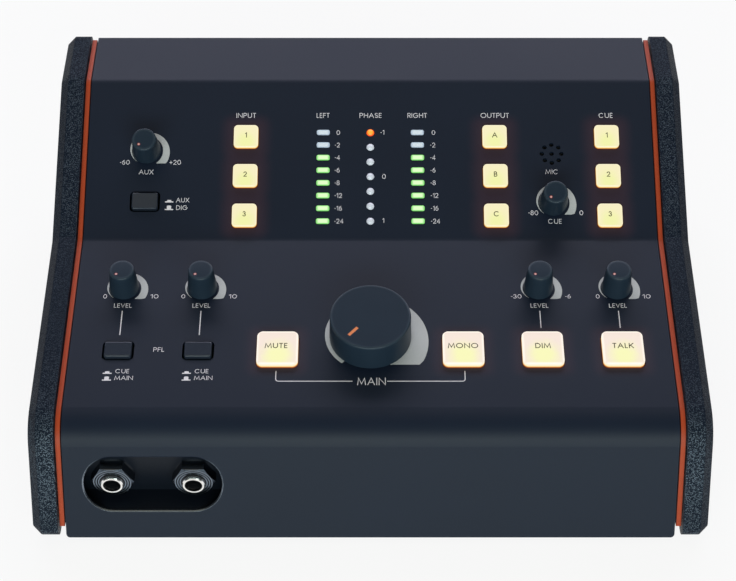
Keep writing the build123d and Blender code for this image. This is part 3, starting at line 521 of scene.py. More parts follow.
class Print:
    """Thin layer of ink on a panel, gathered from strips and made one mesh."""

    def __init__(self, deck, lift=0.0):
        self.deck = deck
        self.lift = lift
        self.mesh = bmesh.new()

    def strip(self, left, right, closed=False):
        """Closed slab between two rails of (x, row) points."""
        rings = []
        for one, other in zip(left, right):
            rings.append([
                self.mesh.verts.new(self.deck.point(*place, self.lift + rise))
                for place, rise in ((one, ink_top), (other, ink_top), (other, ink_foot), (one, ink_foot))
            ])
        spans = list(zip(rings, rings[1:])) + ([(rings[-1], rings[0])] if closed else [])
        for near, far in spans:
            for side in range(4):
                after = (side + 1) % 4
                self.mesh.faces.new((near[side], near[after], far[after], far[side]))
        if not closed:
            self.mesh.faces.new(rings[0][::-1])
            self.mesh.faces.new(rings[-1])

    def line(self, points, width, overrun=True):
        """Stroke of even width along points, with mitred corners and square ends."""
        points = [Vector(point) for point in points]
        closed = (points[0] - points[-1]).length < 1e-7
        if closed:
            points.pop()
        steps = [(after - point).normalized() for point, after in zip(points, points[1:] + points[:1])]
        if not closed:
            steps[-1] = steps[-2]
            if overrun:
                points[0] -= steps[0] * width / 2
                points[-1] += steps[-1] * width / 2
        left, right = [], []
        for number, point in enumerate(points):
            before = steps[number - 1] if closed or number else steps[0]
            middle = (before + steps[number]).normalized()
            side = Vector((-middle.y, middle.x))
            spread = width / 2 / max(0.5, middle.dot(before))
            left.append(point + side * spread)
            right.append(point - side * spread)
        self.strip(left, right, closed)

    def word(self, text, x, row, height, anchor=0.5, wide=1.0, weight=letter_weight):
        """Capitals and figures; anchor 0 sets the left end at x, 0.5 the middle and 1 the right end."""
        weight = weight * height
        space = letter_space * height * wide
        widths = [letters[letter][0] * height * wide for letter in text]
        start = x - anchor * (sum(widths) + space * (len(text) - 1))
        for letter, width in zip(text, widths):
            left, foot = start + weight / 2, row - height / 2 + weight / 2
            for stroke in letters[letter][1]:
                points = [(left + px * (width - weight), foot + py * (height - weight)) for px, py in stroke]
                self.line(points, weight)
            start += width + space

    def piece(self, name, material, body):
        bmesh.ops.recalc_face_normals(self.mesh, faces=self.mesh.faces)
        add_piece(name, mesh_of(name, self.mesh, material), body)


def ink(name, colour, thin):
    paint = Finish(name)
    speck = paint.noise(1 / (0.15 * mm), 2.0)
    return paint.surface({
        "Base Color": paint.blend(speck.step(0.3, 0.6), thin, colour),
        "Roughness": 0.6 + speck * 0.1,
        "Normal": paint.bump(speck, 0.005 * mm, 0.4),
    })


pale_ink = ink("pale_ink", "fdf6fb", "ece4ec")
olive_ink = ink("olive_ink", "3a3208", "453c10")

legend_weight = 0.14
for deck, keys, words, height, raised in (
    (upper_deck, small_keys, "123ABC123", 2.2 * mm, 0.4 * mm),
    (lower_deck, large_keys, ("MUTE", "MONO", "DIM", "TALK"), 2.4 * mm, 0.8 * mm),
):
    for (name, (x, row)), text in zip(keys.items(), words):
        legend = Print(deck, deck.top_of(name))
        shift = {"mute_key": -0.5, "mono_key": -0.15}.get(name, 0.0) * mm
        legend.word(text, x + shift, row + raised, height, weight=legend_weight)
        legend.piece(f"{name}_legend", olive_ink, name)

word_height = 2.1 * mm
scale_height = 2.0 * mm
sign_height = 1.9 * mm
column_word_row = 53.4 * mm
lamp_row = 45.9 * mm
meter_column = 18.8 * mm
meter_pitch = 5.43 * mm

upper_print = Print(upper_deck)
for text, x, wide in (
    ("INPUT", -select_key_column - 0.2 * mm, 1.0),
    ("LEFT", -18.95 * mm, 0.92),
    ("PHASE", 0.1 * mm, 1.0),
    ("RIGHT", 18.8 * mm, 0.95),
    ("OUTPUT", select_key_column + 0.3 * mm, 1.0),
    ("CUE", outer_column + 0.1 * mm, 1.0),
):
    upper_print.word(text, x, column_word_row, word_height, wide=wide)
for number, text in enumerate(("0", "-2", "-4", "-6", "-8", "-12", "-16", "-24")):
    row = lamp_row - number * meter_pitch
    indent = (0 if number else 0.65) * mm
    upper_print.word(text, -14.15 * mm + indent, row, scale_height, 0, 0.95)
    upper_print.word(text, 23.9 * mm + indent, row, scale_height, 0, 0.95)
for text, x, row in (
    ("-1", 4.8, 46.0), ("0", 5.4, 26.9), ("1", 5.1, 8.1),
    ("MIC", 72.05, 28.9), ("CUE", 72.6, 7.8), ("-80", 64.2, 11.4), ("0", 83.1, 11.4),
    ("AUX", -89.0, 28.8), ("-60", -97.6, 33.0), ("+20", -77.6, 33.0),
):
    upper_print.word(text, x * mm, row * mm, scale_height)
upper_print.word("AUX", -76.7 * mm, 16.8 * mm, sign_height, 0, 0.94)
upper_print.word("DIG", -76.6 * mm, 13.6 * mm, sign_height, 0)

lower_print = Print(lower_deck)
for x in (-outer_column, -middle_column, middle_column, outer_column):
    lower_print.word("LEVEL", x, 55.9 * mm, scale_height, wide=0.97)
    line_foot = (41.7 if x < 0 else 45.1) * mm
    lower_print.line([(x, 53.3 * mm), (x, line_foot)], 0.36 * mm, overrun=False)
for text, x, wide in (
    ("0", -101.45, 1.0), ("10", -82.6, 1.25), ("0", -71.55, 1.0), ("10", -52.6, 1.25),
    ("-30", 55.8, 1.05), ("-6", 75.6, 1.0), ("0", 86.95, 1.0), ("10", 105.6, 1.25),
):
    lower_print.word(text, x * mm, 60.4 * mm, scale_height, wide=wide)
lower_print.word("PFL", -79.15 * mm, 34.8 * mm, scale_height)
for shift in (-0.4 * mm, outer_column - middle_column - 0.9 * mm):
    lower_print.word("CUE", shift - 94.1 * mm, 24.7 * mm, sign_height, 0)
    lower_print.word("MAIN", shift - 94.2 * mm, 21.6 * mm, sign_height, 0)
lower_print.word("MAIN", 0.4 * mm, 20.0 * mm, 3.4 * mm, wide=0.87, weight=0.1)


def bracket(side, start):
    """Line from beside the word to a key's column, turning up towards the key."""
    radius = 1.0 * mm
    reach = 35.0 * mm
    level = 20.1 * mm
    corner = bow(reach - radius, level + radius, radius, radius, -90, 0)
    path = [(start, level), *corner, (reach, 24.8 * mm)]
    return [(side * x, row) for x, row in path]


for side, start in ((-1, 6.6 * mm), (1, 6.2 * mm)):
    lower_print.line(bracket(side, start), 0.31 * mm, overrun=False)


def button_mark(deck_print, x, row, stem):
    """Sign of a push button: a base line with the cap pushed in or standing out."""
    base, cap, dome = 1.65 * mm, 0.85 * mm, 0.28 * mm
    line_top = row + 0.45 * mm
    deck_print.strip([(x - base, line_top), (x + base, line_top)], [(x - base, row), (x + base, row)])
    top = [(x + px * cap, row + stem + py * dome) for px, py in bow(0, 0, 1, 1, 180, 0)]
    deck_print.strip(top, [(px, line_top) for px, _ in top])


for x in (-97.5 * mm, outer_column - middle_column - 98.0 * mm):
    button_mark(lower_print, x, 23.5 * mm, 0.9 * mm)
    button_mark(lower_print, x, 20.4 * mm, 1.6 * mm)
button_mark(upper_print, -79.4 * mm, 15.8 * mm, 0.8 * mm)
button_mark(upper_print, -79.4 * mm, 12.6 * mm, 1.6 * mm)
upper_print.piece("upper_deck_print", pale_ink, "console")
lower_print.piece("lower_deck_print", pale_ink, "console")

rear_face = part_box("rear_panel")[1].y
rear_print = Print(Deck((0, rear_face, 0), (-1, 0, 0), (0, 0, 1)))
for text, x, row in (
    ("INPUT 1", 84, 64.0), ("INPUT 2", 62, 64.0), ("OUTPUT A", 40, 64.0),
    ("OUTPUT B", 18, 64.0), ("OUTPUT C", -4, 64.0), ("L", 95.2, 53.0), ("R", 95.2, 27.0),
    ("DIG", -36, 62.0), ("AUX", -36, 36.0), ("ON/OFF", -74, 67.0), ("DC", -74, 36.0),
):
    rear_print.word(text, x * mm, row * mm, word_height)
rear_print.piece("rear_panel_print", pale_ink, "console")

# -------- growing scales round the knobs
# A crescent round each knob widens clockwise from its low end, and is cut off level below the knob. It is
# screened with the words, in a slightly darker grey.
scale_start = 230.0
scale_turn = 265.0
past_end = 1.12  # the level cut reaches round past the scale's own end
scale_steps = 48


def crescent(deck_print, x, row, inner, outer, cut):
    """Crescent between two radii that follow the share of the turn, cut off level at cut below the knob."""
    inside, outside = [], []
    for step in range(scale_steps + 1):
        share = past_end * step / scale_steps
        angle = math.radians(scale_start - share * scale_turn)
        cos, sin = math.cos(angle), math.sin(angle)
        limit = cut / -sin if sin < -0.01 else 1.0
        near = min(inner(share), limit)
        far = min(outer(share), limit)
        if far - near > 0.02 * mm:
            inside.append((x + near * cos, row + near * sin))
            outside.append((x + far * cos, row + far * sin))
    deck_print.strip(outside, inside)


def small_scale(deck_print, x, row, cut=5.04 * mm):
    """Crescent of a small knob: both its edges grow evenly with the share of the turn."""
    crescent(
        deck_print, x, row,
        lambda share: (5.9 + 0.6 * share) * mm, lambda share: (5.95 + 3.6 * share) * mm, cut,
    )


scale_ink = ink("scale_ink", "cacac9", "b6b8b9")
lower_scales = Print(lower_deck)
for x in (-outer_column, -middle_column, middle_column, outer_column):
    small_scale(lower_scales, x, lower_knob_row)
crescent(
    lower_scales, 0.0, main_knob_row,
    lambda share: 14.8 * mm, lambda share: (16.5 + 2.2 * share + 4.4 * share * share) * mm, 13.23 * mm,
)
lower_scales.piece("lower_deck_scales", scale_ink, "console")
upper_scales = Print(upper_deck)
small_scale(upper_scales, -aux_column, aux_knob_row, 5.48 * mm)
small_scale(upper_scales, cue_column, cue_knob_row)
upper_scales.piece("upper_deck_scales", scale_ink, "console")

# -------- knobs and their pointers
# Moulded knobs with a soft, slate-black finish, small ones flared at the foot. The main knob has an orange
# line let into its top, and each small one a dot with a pale middle. They rest at their scales' low end.
pointer_angle = math.radians(228.0)
pointer_width = 1.2 * mm
main_pointer_inner = 7.1 * mm
main_pointer_outer = 12.0 * mm
small_pointer_radius = 2.9 * mm
pointer_sunk = 0.3 * mm  # depth of a pointer's groove
paint_sunk = 0.05 * mm  # how far its paint stays below the top
small_knobs = {
    "aux_level_knob": (upper_deck, -aux_column, aux_knob_row),
    "cue_level_knob": (upper_deck, cue_column, cue_knob_row),
    "phones_1_knob": (lower_deck, -outer_column, lower_knob_row),
    "phones_2_knob": (lower_deck, -middle_column, lower_knob_row),
    "dim_level_knob": (lower_deck, middle_column, lower_knob_row),
    "talk_level_knob": (lower_deck, outer_column, lower_knob_row),
}


def welded(node):
    """Copy of a CAD node's mesh, with the corners that its faces share made one."""
    copy = bmesh.new()
    copy.from_mesh(frame["nodes"][node].data)
    bmesh.ops.remove_doubles(copy, verts=copy.verts, dist=0.001 * mm)
    return copy


def slate_knob(name, deck, x, row, top_radius):
    """Knob plastic of one knob, glossier along the rounded edge of its top, where fingers touch it, and
    lighter there as a painted highlight.
    """
    slate = Finish(f"slate_{name}")
    spark = slate.noise(1 / (0.12 * mm), 2.0)
    foot = deck.point(x, row)
    across = slate.along(deck.across, foot)
    up = slate.along(deck.up, foot)
    radius = (across * across + up * up).root()
    top = deck.top_of(name)
    near_top = slate.along(deck.normal, foot).step(top - 1.2 * mm, top - 0.6 * mm)
    # The rounded edge of the top gets a glossier coat, and a lighter colour as a painted highlight.
    polish_and_highlight = radius.step(top_radius - 1.3 * mm, top_radius - 0.5 * mm) * near_top
    colour = slate.blend(spark * 0.5 + slate.noise(60.0) * 0.5, "202c39", "273543")
    return slate.surface({
        "Base Color": slate.blend(polish_and_highlight * 0.16, colour, "50606c"),
        "Roughness": 0.3 + spark * 0.08,
        "Specular IOR Level": 0.12,
        "Coat Weight": polish_and_highlight * 0.3,
        "Coat Roughness": 0.25,
        "Normal": slate.bump(spark, 0.01 * mm, 0.5),
    })


dress(slate_knob("main_knob", lower_deck, 0.0, main_knob_row, 15.1 * mm), "main_knob")

skirt_flare = 0.65 * mm  # how far a small knob's foot stands out beyond its plain taper
outer_wall = 4.0 * mm  # radius past which a corner belongs to the knob's outer wall
flat_top = 0.999  # a face whose normal is this much the deck's belongs to the flat top
sharp_edge = math.radians(35.0)
for name, (deck, x, row) in small_knobs.items():
    body = welded(name)
    foot = deck.point(x, row)
    top = deck.top_of(name)
    for face in body.faces:
        face.smooth = face.normal.dot(deck.normal) < flat_top
    for vertex in body.verts:
        place = vertex.co - foot
        rise = place.dot(deck.normal)
        outward = place - rise * deck.normal
        if outward.length > outer_wall:
            vertex.co += outward.normalized() * skirt_flare * (1 - rise / top)
    mesh = mesh_of(f"{name}_moulding", body, slate_knob(name, deck, x, row, 4.7 * mm))
    if "custom_normal" in mesh.attributes:
        mesh.attributes.remove(mesh.attributes["custom_normal"])
    mesh.set_sharp_from_angle(angle=sharp_edge)
    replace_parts(add_piece(f"{name}_moulding", mesh, name), name)


def painted_dot(name, centre, radius, rim, core):
    dot = Finish(name)
    offset = dot.measured("DISTANCE", centre)
    return dot.surface({
        "Base Color": dot.blend(offset.step(0.25 * radius, 0.95 * radius), core, rim),
        "Roughness": 0.35 + dot.noise(1 / (0.1 * mm)) * 0.1,
    })


def inlay(name, deck, outline, material, body):
    """Paint that fills a pointer's groove to just below the top; outline is a list of (x, row) points."""
    mesh = bmesh.new()
    rise = deck.top_of(body)
    top = [mesh.verts.new(deck.point(x, row, rise - paint_sunk)) for x, row in outline]
    foot = [mesh.verts.new(deck.point(x, row, rise - pointer_sunk)) for x, row in outline]
    mesh.faces.new(top)
    mesh.faces.new(foot[::-1])
    for number, corner in enumerate(top):
        after = (number + 1) % len(top)
        mesh.faces.new((corner, foot[number], foot[after], top[after]))
    bmesh.ops.recalc_face_normals(mesh, faces=mesh.faces)
    add_piece(name, mesh_of(name, mesh, material), body)


def grained(name, deep, pale, size, smooth, spread=0.15, metallic=0.0, detail=3.0, relief=0.01, more=None):
    """Finish with one fine grain, which its colour, roughness and relief follow; size and relief in mm."""
    stock = Finish(name)
    grain = stock.noise(1 / (size * mm), detail)
    inputs = {
        "Base Color": stock.blend(grain, deep, pale),
        "Roughness": smooth + grain * spread,
        "Metallic": metallic,
        **(more or {}),
    }
    if relief:
        inputs["Normal"] = stock.bump(grain, relief * mm, 0.5)
    return stock.surface(inputs)


orange = grained("pointer_orange", "f07a34", "fb9a5c", 0.3, 0.45, 0.1, detail=2.0, relief=0)
toward = Vector((math.cos(pointer_angle), math.sin(pointer_angle)))
beside = Vector((-toward.y, toward.x)) * pointer_width / 2
middle = Vector((0.0, main_knob_row))
inner_end = middle + toward * main_pointer_inner
outer_end = middle + toward * main_pointer_outer
inlay("main_pointer", lower_deck, [
    inner_end + beside, outer_end + beside, outer_end - beside, inner_end - beside,
], orange, "main_knob")
for name, (deck, x, row) in small_knobs.items():
    spot = Vector((x, row)) + toward * small_pointer_radius
    radius = pointer_width / 2 - 0.01 * mm
    centre = deck.point(*spot, deck.top_of(name))
    dot_paint = painted_dot(f"{name}_dot_paint", centre, radius, "a83030", "f6c4ba")
    inlay(f"{name}_dot", deck, [
        (spot.x + px, spot.y + py) for px, py in bow(0, 0, radius, radius, 0, 360)[:-1]
    ], dot_paint, name)

# -------- latching buttons
# Caps of black plastic with rounded edges, moulded in a polished tool and left glossy. They snap on the
# latching switches' stems.
glossy = Finish("black_plastic")
haze = glossy.noise(1 / (1.5 * mm), 2.0)
dress(glossy.surface({
    "Base Color": glossy.blend(haze, "282f3c", "2c3340"),
    "Roughness": 0.17 + haze * 0.06,
    "Specular IOR Level": 0.35,
    "Coat Weight": 0.14 + haze * 0.1,
    "Coat Roughness": 0.12,
    "Normal": glossy.bump(haze, 0.001 * mm, 0.4),
}), "aux_source_button", "phones_1_button", "phones_2_button")

# -------- level and phase lamps
# Flat lamps of milky plastic: six of each column are lit green, the two peak lamps are dark. The phase
# column's round lamps are dark but for the top one, which glows orange. The unlit lamps still get a faint
# painted glow, which keeps their milky lenses pale.
bar_width = 5.2 * mm
bar_height = 2.2 * mm


def bar_lamps(name, core, edge, glow):
    """Milky lamps, core to edge across each one; a lit one shows its own colour only."""
    lens = Finish(name)
    across = abs(abs(lens.along((1, 0, 0))) - meter_column) / (bar_width / 2)
    up = lens.along(upper_deck.up, upper_deck.point(0, lamp_row)) / meter_pitch
    up = abs(up - up.rounded()) * (meter_pitch / (bar_height / 2))
    border = across.most(up)
    milk = lens.noise(1 / (0.8 * mm))
    colour = lens.blend((border + (milk - 0.5) * 0.15).step(0.55, 1.0), core, edge)
    lit = glow > 0.5
    return lens.surface({
        "Base Color": lens.blend(milk, (0.05, 0.07, 0.05, 1), (0.06, 0.08, 0.06, 1)) if lit else colour,
        "Roughness": 0.3 + milk * 0.1,
        "Emission Color": colour,
        "Emission Strength": glow,
    })


dress(bar_lamps("green_glow", "e0ffc6", "76d866", 0.97), "level_lamps")
# The dark peak lamps glow faintly: painted light that keeps their lenses pale.
dress(bar_lamps("milky_dark_painted_glow", "ecf4ff", "bccbe2", 0.12), "peak_lamps")

# The dark phase lamps glow faintly: painted light that keeps their lenses pale.
dress(grained("milky_round_painted_glow", "dcdfea", "eceef6", 0.7, 0.16, 0.08, detail=2.0, relief=0, more={
    "Emission Color": tint("c2c6d8"),
    "Emission Strength": 0.22,
}), "phase_lamps")

fault_lens = Finish("orange_glow")
spread = fault_lens.measured("DISTANCE", upper_deck.point(0, lamp_row, 0.5 * mm))
dress(fault_lens.surface({
    "Base Color": (0.12, 0.03, 0.01, 1),
    "Roughness": 0.3 + fault_lens.noise(900.0) * 0.05,
    "Emission Color": fault_lens.blend(spread.step(0.6 * mm, 1.7 * mm), "ffb63c", "ff4808"),
    "Emission Strength": 1.0,
}), "phase_fault_lamp")

# -------- headphone and line sockets
# Threaded bushes with a nickel ring at the mouth, chamfered hexagon nuts of dark nickel on the panels,
# and three gilt contact springs inside each body.
ring_length = 1.2 * mm
thread_pitch = 0.75 * mm
bush_low, bush_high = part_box("jack_bushes")
bush = Finish("bush_metal")
depth = bush.along((0, 1, 0))
front_ring, rear_ring = bush_low.y + ring_length, bush_high.y - ring_length
bright_end = depth.step(front_ring, front_ring - 0.05 * mm)
bright_end = bright_end + depth.step(rear_ring, rear_ring + 0.05 * mm)
scratch = bush.noise(1 / (0.4 * mm), 3.0)
# Painted shade and light of the thread: dark in its roots and pale on its crests, over its relief.
thread_relief_and_shade = depth.to_and_fro(thread_pitch / 2) / thread_pitch * (1 - bright_end)
dress(bush.surface({
    "Base Color": bush.blend(bright_end, bush.blend(thread_relief_and_shade, "2c2e33", "8a8d92"), "f2f1ee"),
    "Metallic": 1.0,
    "Roughness": 0.34 + scratch * 0.1 - bright_end * 0.2,
    "Normal": bush.bump(thread_relief_and_shade, 0.3 * mm, 1.0),
}), "jack_bushes")

nut_low, nut_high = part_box("jack_nuts")
nut_thickness = 5.0 * mm
turned_ring = 0.9 * mm  # pitch of the rings that the tool left on the nuts' ends
nut = Finish("black_nickel")
scratch = nut.noise(1 / (0.5 * mm), 3.0)
depth = nut.along((0, 1, 0))
from_end = abs(depth - nut_low.y)
for end in (nut_low.y + nut_thickness, nut_high.y - nut_thickness, nut_high.y):
    from_end = from_end.least(abs(depth - end))
facing = nut.node("ShaderNodeNewGeometry", output="Normal")
facing = abs(nut.node("ShaderNodeSeparateXYZ", {0: facing}, output="Y"))
# Painted highlight: the flats turn bright nickel close to each end of the nuts.
end_highlight = from_end.step(0.7 * mm, 0.4 * mm) * facing.step(0.86, 0.8)
end_face = facing.step(0.9, 0.97)
spot = nut.node("ShaderNodeAttribute", output="Vector", attribute_name="from_axis")
spot_x, spot_y = [nut.node("ShaderNodeSeparateXYZ", {0: spot}, output=letter) for letter in "XY"]
radius = (spot_x * spot_x + spot_y * spot_y).root()
ring = (radius.to_and_fro(turned_ring / 2) / (turned_ring / 2)).step(0.4, 0.8)
dark_nickel = nut.blend(scratch, "414954", "646e7a")
turned = nut.blend(ring, "1d2329", "808b97")
nickel = nut.surface({
    "Base Color": nut.blend(end_highlight * 0.9, nut.blend(end_face, dark_nickel, turned), "eef0f4"),
    "Metallic": 1.0,
    "Roughness": 0.18 + scratch * 0.12,
    "Normal": nut.bump(scratch, 0.01 * mm, 0.3),
})
dress(nickel, "main_pot_nut")


class Shaping(Finish):
    """A geometry node tree with named sizes: node() adds any node, and make() runs it on points."""

    def __init__(self, name, sizes):
        self.name = name
        self.tree = bpy.data.node_groups.new(name, "GeometryNodeTree")
        self.tree.interface.new_socket("Places", in_out="INPUT", socket_type="NodeSocketGeometry")
        self.tree.interface.new_socket("Pieces", in_out="OUTPUT", socket_type="NodeSocketGeometry")
        for label, value in sizes.items():
            socket = self.tree.interface.new_socket(label, in_out="INPUT", socket_type="NodeSocketFloat")
            socket.default_value = value
        self.sizes = sizes
        self.source = self.tree.nodes.new("NodeGroupInput")
        self.out = self.tree.nodes.new("NodeGroupOutput")

    def all_sizes(self):
        """The tree's sizes, in the order in which they were named."""
        return [Signal(self, self.source.outputs[label]) for label in self.sizes]

    def vector(self, x=0.0, y=0.0, z=0.0):
        return self.node("ShaderNodeCombineXYZ", {0: x, 1: y, 2: z})

    def moved(self, shape, rise=0.0, turn=(0, 0, 0)):
        inputs = {"Geometry": shape, "Translation": self.vector(z=rise), "Rotation": turn}
        return self.node("GeometryNodeTransform", inputs)

    def cylinder(self, corners, radius, depth):
        inputs = {"Vertices": corners, "Radius": radius, "Depth": depth}
        return self.node("GeometryNodeMeshCylinder", inputs)

    def swept(self, path, profile):
        inputs = {"Curve": path, "Profile Curve": profile, "Fill Caps": True}
        return self.node("GeometryNodeCurveToMesh", inputs)

    def joined(self, *shapes):
        return self.node("GeometryNodeJoinGeometry", {0: list(shapes)})

    def carved(self, operation, *shapes, stock=None):
        """Exact boolean of shapes; a DIFFERENCE takes them from the stock."""
        inputs = {"Mesh 1": stock} if stock else {}
        inputs["Mesh 2"] = list(shapes)
        return self.node("GeometryNodeMeshBoolean", inputs, operation=operation, solver="EXACT")

    def repeat(self, shape, material, turn):
        """Closes the tree: the shape stands at every place, as real faces with their material."""
        places = Signal(self, self.source.outputs["Places"])
        inputs = {"Points": places, "Instance": shape, "Rotation": turn}
        stand = self.node("GeometryNodeInstanceOnPoints", inputs)
        real = self.node("GeometryNodeRealizeInstances", {"Geometry": stand})
        done = self.node("GeometryNodeSetMaterial", {"Geometry": real, "Material": material})
        self.tree.links.new(done.socket, self.out.inputs["Pieces"])

    def make(self, name, places, slot, **sizes):
        """Run the tree on the places, as one plain mesh that rides on the console."""
        cloud = bpy.data.meshes.new(name)
        cloud.from_pydata([tuple(place) for place in places], [], [])
        draft = new_object(f"{name}_draft", cloud)
        modifier = draft.modifiers.new(self.name, "NODES")
        modifier.node_group = self.tree
        for socket in self.tree.interface.items_tree:
            if socket.name in self.sizes:
                modifier[socket.identifier] = sizes.get(socket.name, self.sizes[socket.name])
        bpy.context.view_layer.update()
        shaped = draft.evaluated_get(bpy.context.evaluated_depsgraph_get())
        mesh = bpy.data.meshes.new_from_object(shaped)
        draft.modifiers.clear()
        bpy.data.objects.remove(draft)
        mesh.name = name
        return add_piece(name, mesh, "console")


def solids_of(node):
    """Lowest and highest corners of each separate solid in a CAD node."""
    copy = welded(node)
    waiting = set(copy.verts)
    corners = []
    while waiting:
        reached = [waiting.pop()]
        spots = []
        while reached:
            vertex = reached.pop()
            spots.append(vertex.co.copy())
            for edge in vertex.link_edges:
                other = edge.other_vert(vertex)
                if other in waiting:
                    waiting.discard(other)
                    reached.append(other)
        corners.append([Vector([extreme(values) for values in zip(*spots)]) for extreme in (min, max)])
    copy.free()
    return sorted(corners, key=lambda pair: tuple(round(value, 6) for value in pair[0]))


nut_shape = Shaping("hexagon_nut", {
    "Flats": 14.0 * mm, "Thickness": nut_thickness, "Bore": 4.52 * mm, "Chamfer": 0.6 * mm,
})
chamfer_slope = 1.732  # how much the chamfer's radius grows along the axis
flats, thickness, bore, chamfer = nut_shape.all_sizes()
prism = nut_shape.cylinder(6, flats / math.sqrt(3), thickness)
end_radius = flats / math.sqrt(3) - chamfer * chamfer_slope
cone = nut_shape.node("GeometryNodeMeshCone", {
    "Vertices": 64, "Depth": thickness * 1.5,
    "Radius Top": end_radius, "Radius Bottom": end_radius + thickness * 1.5 * chamfer_slope,
})
upper_cone = nut_shape.moved(cone, thickness * -1.0)
lower_cone = nut_shape.moved(cone, thickness, (math.pi, 0, 0))
hole = nut_shape.cylinder(64, bore, thickness * 2.0)
blank = nut_shape.carved("INTERSECT", prism, upper_cone, lower_cone)
nut_body = nut_shape.node("GeometryNodeStoreNamedAttribute", {
    "Geometry": nut_shape.carved("DIFFERENCE", hole, stock=blank),
    "Name": "from_axis", "Value": nut_shape.node("GeometryNodeInputPosition"),
}, data_type="FLOAT_VECTOR", domain="POINT")
nut_shape.repeat(nut_body, nickel, (math.pi / 2, 0, 0))
nut_places = [(low + high) / 2 for low, high in solids_of("jack_nuts")]
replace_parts(nut_shape.make("socket_nuts", nut_places, "nut_steel"), "jack_nuts")

gilt = grained("gilt_spring", "a98238", "d6ae5c", 0.3, 0.25, 0.12, 1.0, detail=2.0, relief=0)
spring_shape = Shaping("contact_spring", {
    "Start depth": 8.0 * mm, "End depth": 19.0 * mm, "Seat radius": 3.8 * mm, "Contact radius": 2.7 * mm,
    "Width": 1.3 * mm, "Thickness": 0.2 * mm, "Turn": 0.0,
})
start, end, seat, contact, width, thickness, turn = spring_shape.all_sizes()
bent = spring_shape.node("GeometryNodeCurveQuadraticBezier", {
    "Resolution": 8,
    "Start": spring_shape.vector(y=start, z=seat),
    "Middle": spring_shape.vector(y=(start + end) / 2, z=contact * 2 - seat),
    "End": spring_shape.vector(y=end, z=seat),
})
profile = spring_shape.node("GeometryNodeCurvePrimitiveQuadrilateral", {"Width": width, "Height": thickness})
strip = spring_shape.swept(bent, profile)
trio = [spring_shape.moved(strip, turn=(0, math.radians(angle), 0)) for angle in (0, 120, 240)]
spring_shape.repeat(spring_shape.joined(*trio), gilt, spring_shape.vector(z=turn))
for name, is_front, turn in (("front_contacts", True, 0.0), ("rear_contacts", False, math.pi)):
    places = []
    for low, high in solids_of("jack_bushes"):
        middle = (low + high) / 2
        if (middle.y < 0) == is_front:
            places.append((middle.x, low.y if is_front else high.y, middle.z))
    spring_shape.make(name, places, "bright_chrome", Turn=turn)

# -------- screws under the base
# Zinc-plated pan-head screws with a cross recess hold the base to the shell's tabs and the rear panel.
# Each head is a turned blank with a dome, into which the recess is pressed.
zinc = grained("zinc_plate", "9aa0a6", "b8bcc0", 0.6, 0.28, 0.14, 1.0)
head_height = 1.6 * mm
screw_shape = Shaping("pan_head_screw", {
    "Head radius": 2.8 * mm, "Head height": head_height, "Shank radius": 1.5 * mm, "Shank length": 7.0 * mm,
    "Recess width": 0.6 * mm, "Recess depth": 0.9 * mm,
})
radius, head, shank_radius, shank_length, recess_width, recess_depth = screw_shape.all_sizes()
rim = screw_shape.cylinder(40, radius, head * 0.45)
dome = screw_shape.node("GeometryNodeMeshCone", {
    "Vertices": 40, "Radius Top": radius * 0.7, "Radius Bottom": radius, "Depth": head * 0.55,
})
rim, dome = screw_shape.moved(rim, head * 0.225), screw_shape.moved(dome, head * 0.45)
blank = screw_shape.carved("UNION", rim, dome)
recess_length = radius * 1.05
wings = []
for wide, high in ((recess_length, recess_width), (recess_width, recess_length)):
    size = screw_shape.vector(wide, high, recess_depth * 2.0)
    wings.append(screw_shape.moved(screw_shape.node("GeometryNodeMeshCube", {"Size": size}), head))
shank = screw_shape.moved(screw_shape.cylinder(24, shank_radius, shank_length), shank_length * -0.5)
screw = screw_shape.joined(screw_shape.carved("DIFFERENCE", *wings, stock=blank), shank)
screw_shape.repeat(screw, zinc, (math.pi, 0, 0))
screw_places = []
for low, high in solids_of("case_screws"):
    middle = (low + high) / 2
    screw_places.append((middle.x, middle.y, low.z + head_height))
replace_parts(screw_shape.make("base_screws", screw_places, "zinc_steel"), "case_screws")

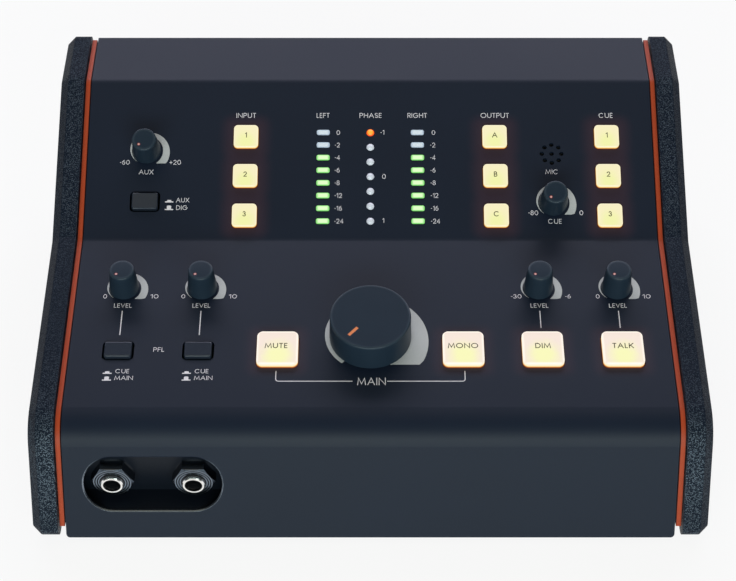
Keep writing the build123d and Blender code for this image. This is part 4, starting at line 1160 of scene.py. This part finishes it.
# -------- gauze in the sound holes
# A black gauze behind the ring of nine holes keeps dust off the talkback microphone. It is woven from
# thin round wire, and one disc of it sits in each hole.
gauze_black = grained("gauze_wire", "0c0d0f", "1d1f22", 0.2, 0.5, 0.2, detail=2.0, relief=0)
gauze_shape = Shaping("sound_gauze", {
    "Hole radius": 0.86 * mm, "Wire radius": 0.04 * mm, "Tilt": math.radians(25.7),
})
radius, wire_radius, tilt = gauze_shape.all_sizes()
weave = gauze_shape.node("GeometryNodeMeshGrid", {
    "Size X": radius * 2.0, "Size Y": radius * 2.0, "Vertices X": 9, "Vertices Y": 9,
})
spot = gauze_shape.node("GeometryNodeInputPosition")
reach = gauze_shape.node("ShaderNodeVectorMath", {0: spot}, "Value", operation="LENGTH")
outside = gauze_shape.node("FunctionNodeCompare", {0: reach, 1: radius}, operation="GREATER_THAN")
weave = gauze_shape.node("GeometryNodeDeleteGeometry", {
    "Geometry": weave, "Selection": outside,
}, domain="POINT")
wires = gauze_shape.node("GeometryNodeMeshToCurve", {"Mesh": weave})
round_wire = gauze_shape.node("GeometryNodeCurvePrimitiveCircle", {"Resolution": 5, "Radius": wire_radius})
gauze_shape.repeat(gauze_shape.swept(wires, round_wire), gauze_black, gauze_shape.vector(x=tilt))
ring_radius = 3.9 * mm
ring_row = 36.7 * mm
gauze_depth = -1.2 * mm
holes = [(cue_column, ring_row)]
for angle in [turn * math.pi / 4 for turn in range(8)]:
    holes.append((cue_column + ring_radius * math.cos(angle), ring_row + ring_radius * math.sin(angle)))
gauze_shape.make("sound_gauze", [upper_deck.point(x, row, gauze_depth) for x, row in holes], "socket_plastic")

# -------- plain inner and under parts
# Screws, shafts, boards, pots, switches and the microphone are hidden in use, and have plain trade
# finishes: zinc, black moulding, solder-masked laminate and rubber.
dress(grained("zinc", "9aa0a6", "b8bcc0", 0.6, 0.275, metallic=1.0), "cheek_screws", "main_shaft")
dress(grained("black_moulding", "17181a", "232529", 0.4, 0.425),
      "jack_bodies", "mini_socket", "power_inlet", "power_switch_frame", "key_switches", "latch_switches")
dress(grained("rocker_plastic", "141517", "1d1e21", 0.5, 0.245), "power_rocker")
dress(grained("gold_plate", "b58d3c", "d2aa54", 0.5, 0.205, metallic=1.0), "coax_socket")
dress(grained("solder_mask", "12331f", "1a4229", 0.8, 0.375),
      "upper_board", "lower_board", "connector_board")
dress(grained("steel", "8d9094", "a5a8ab", 0.5, 0.325, metallic=1.0),
      "board_pillars", "small_pots", "main_pot")
dress(grained("capsule_metal", "1d1f22", "2a2d30", 0.3, 0.425, metallic=0.6), "mic_capsule")
dress(grained("rubber", "101112", "191a1b", 0.4, 0.675), "mic_boot", "rubber_feet")
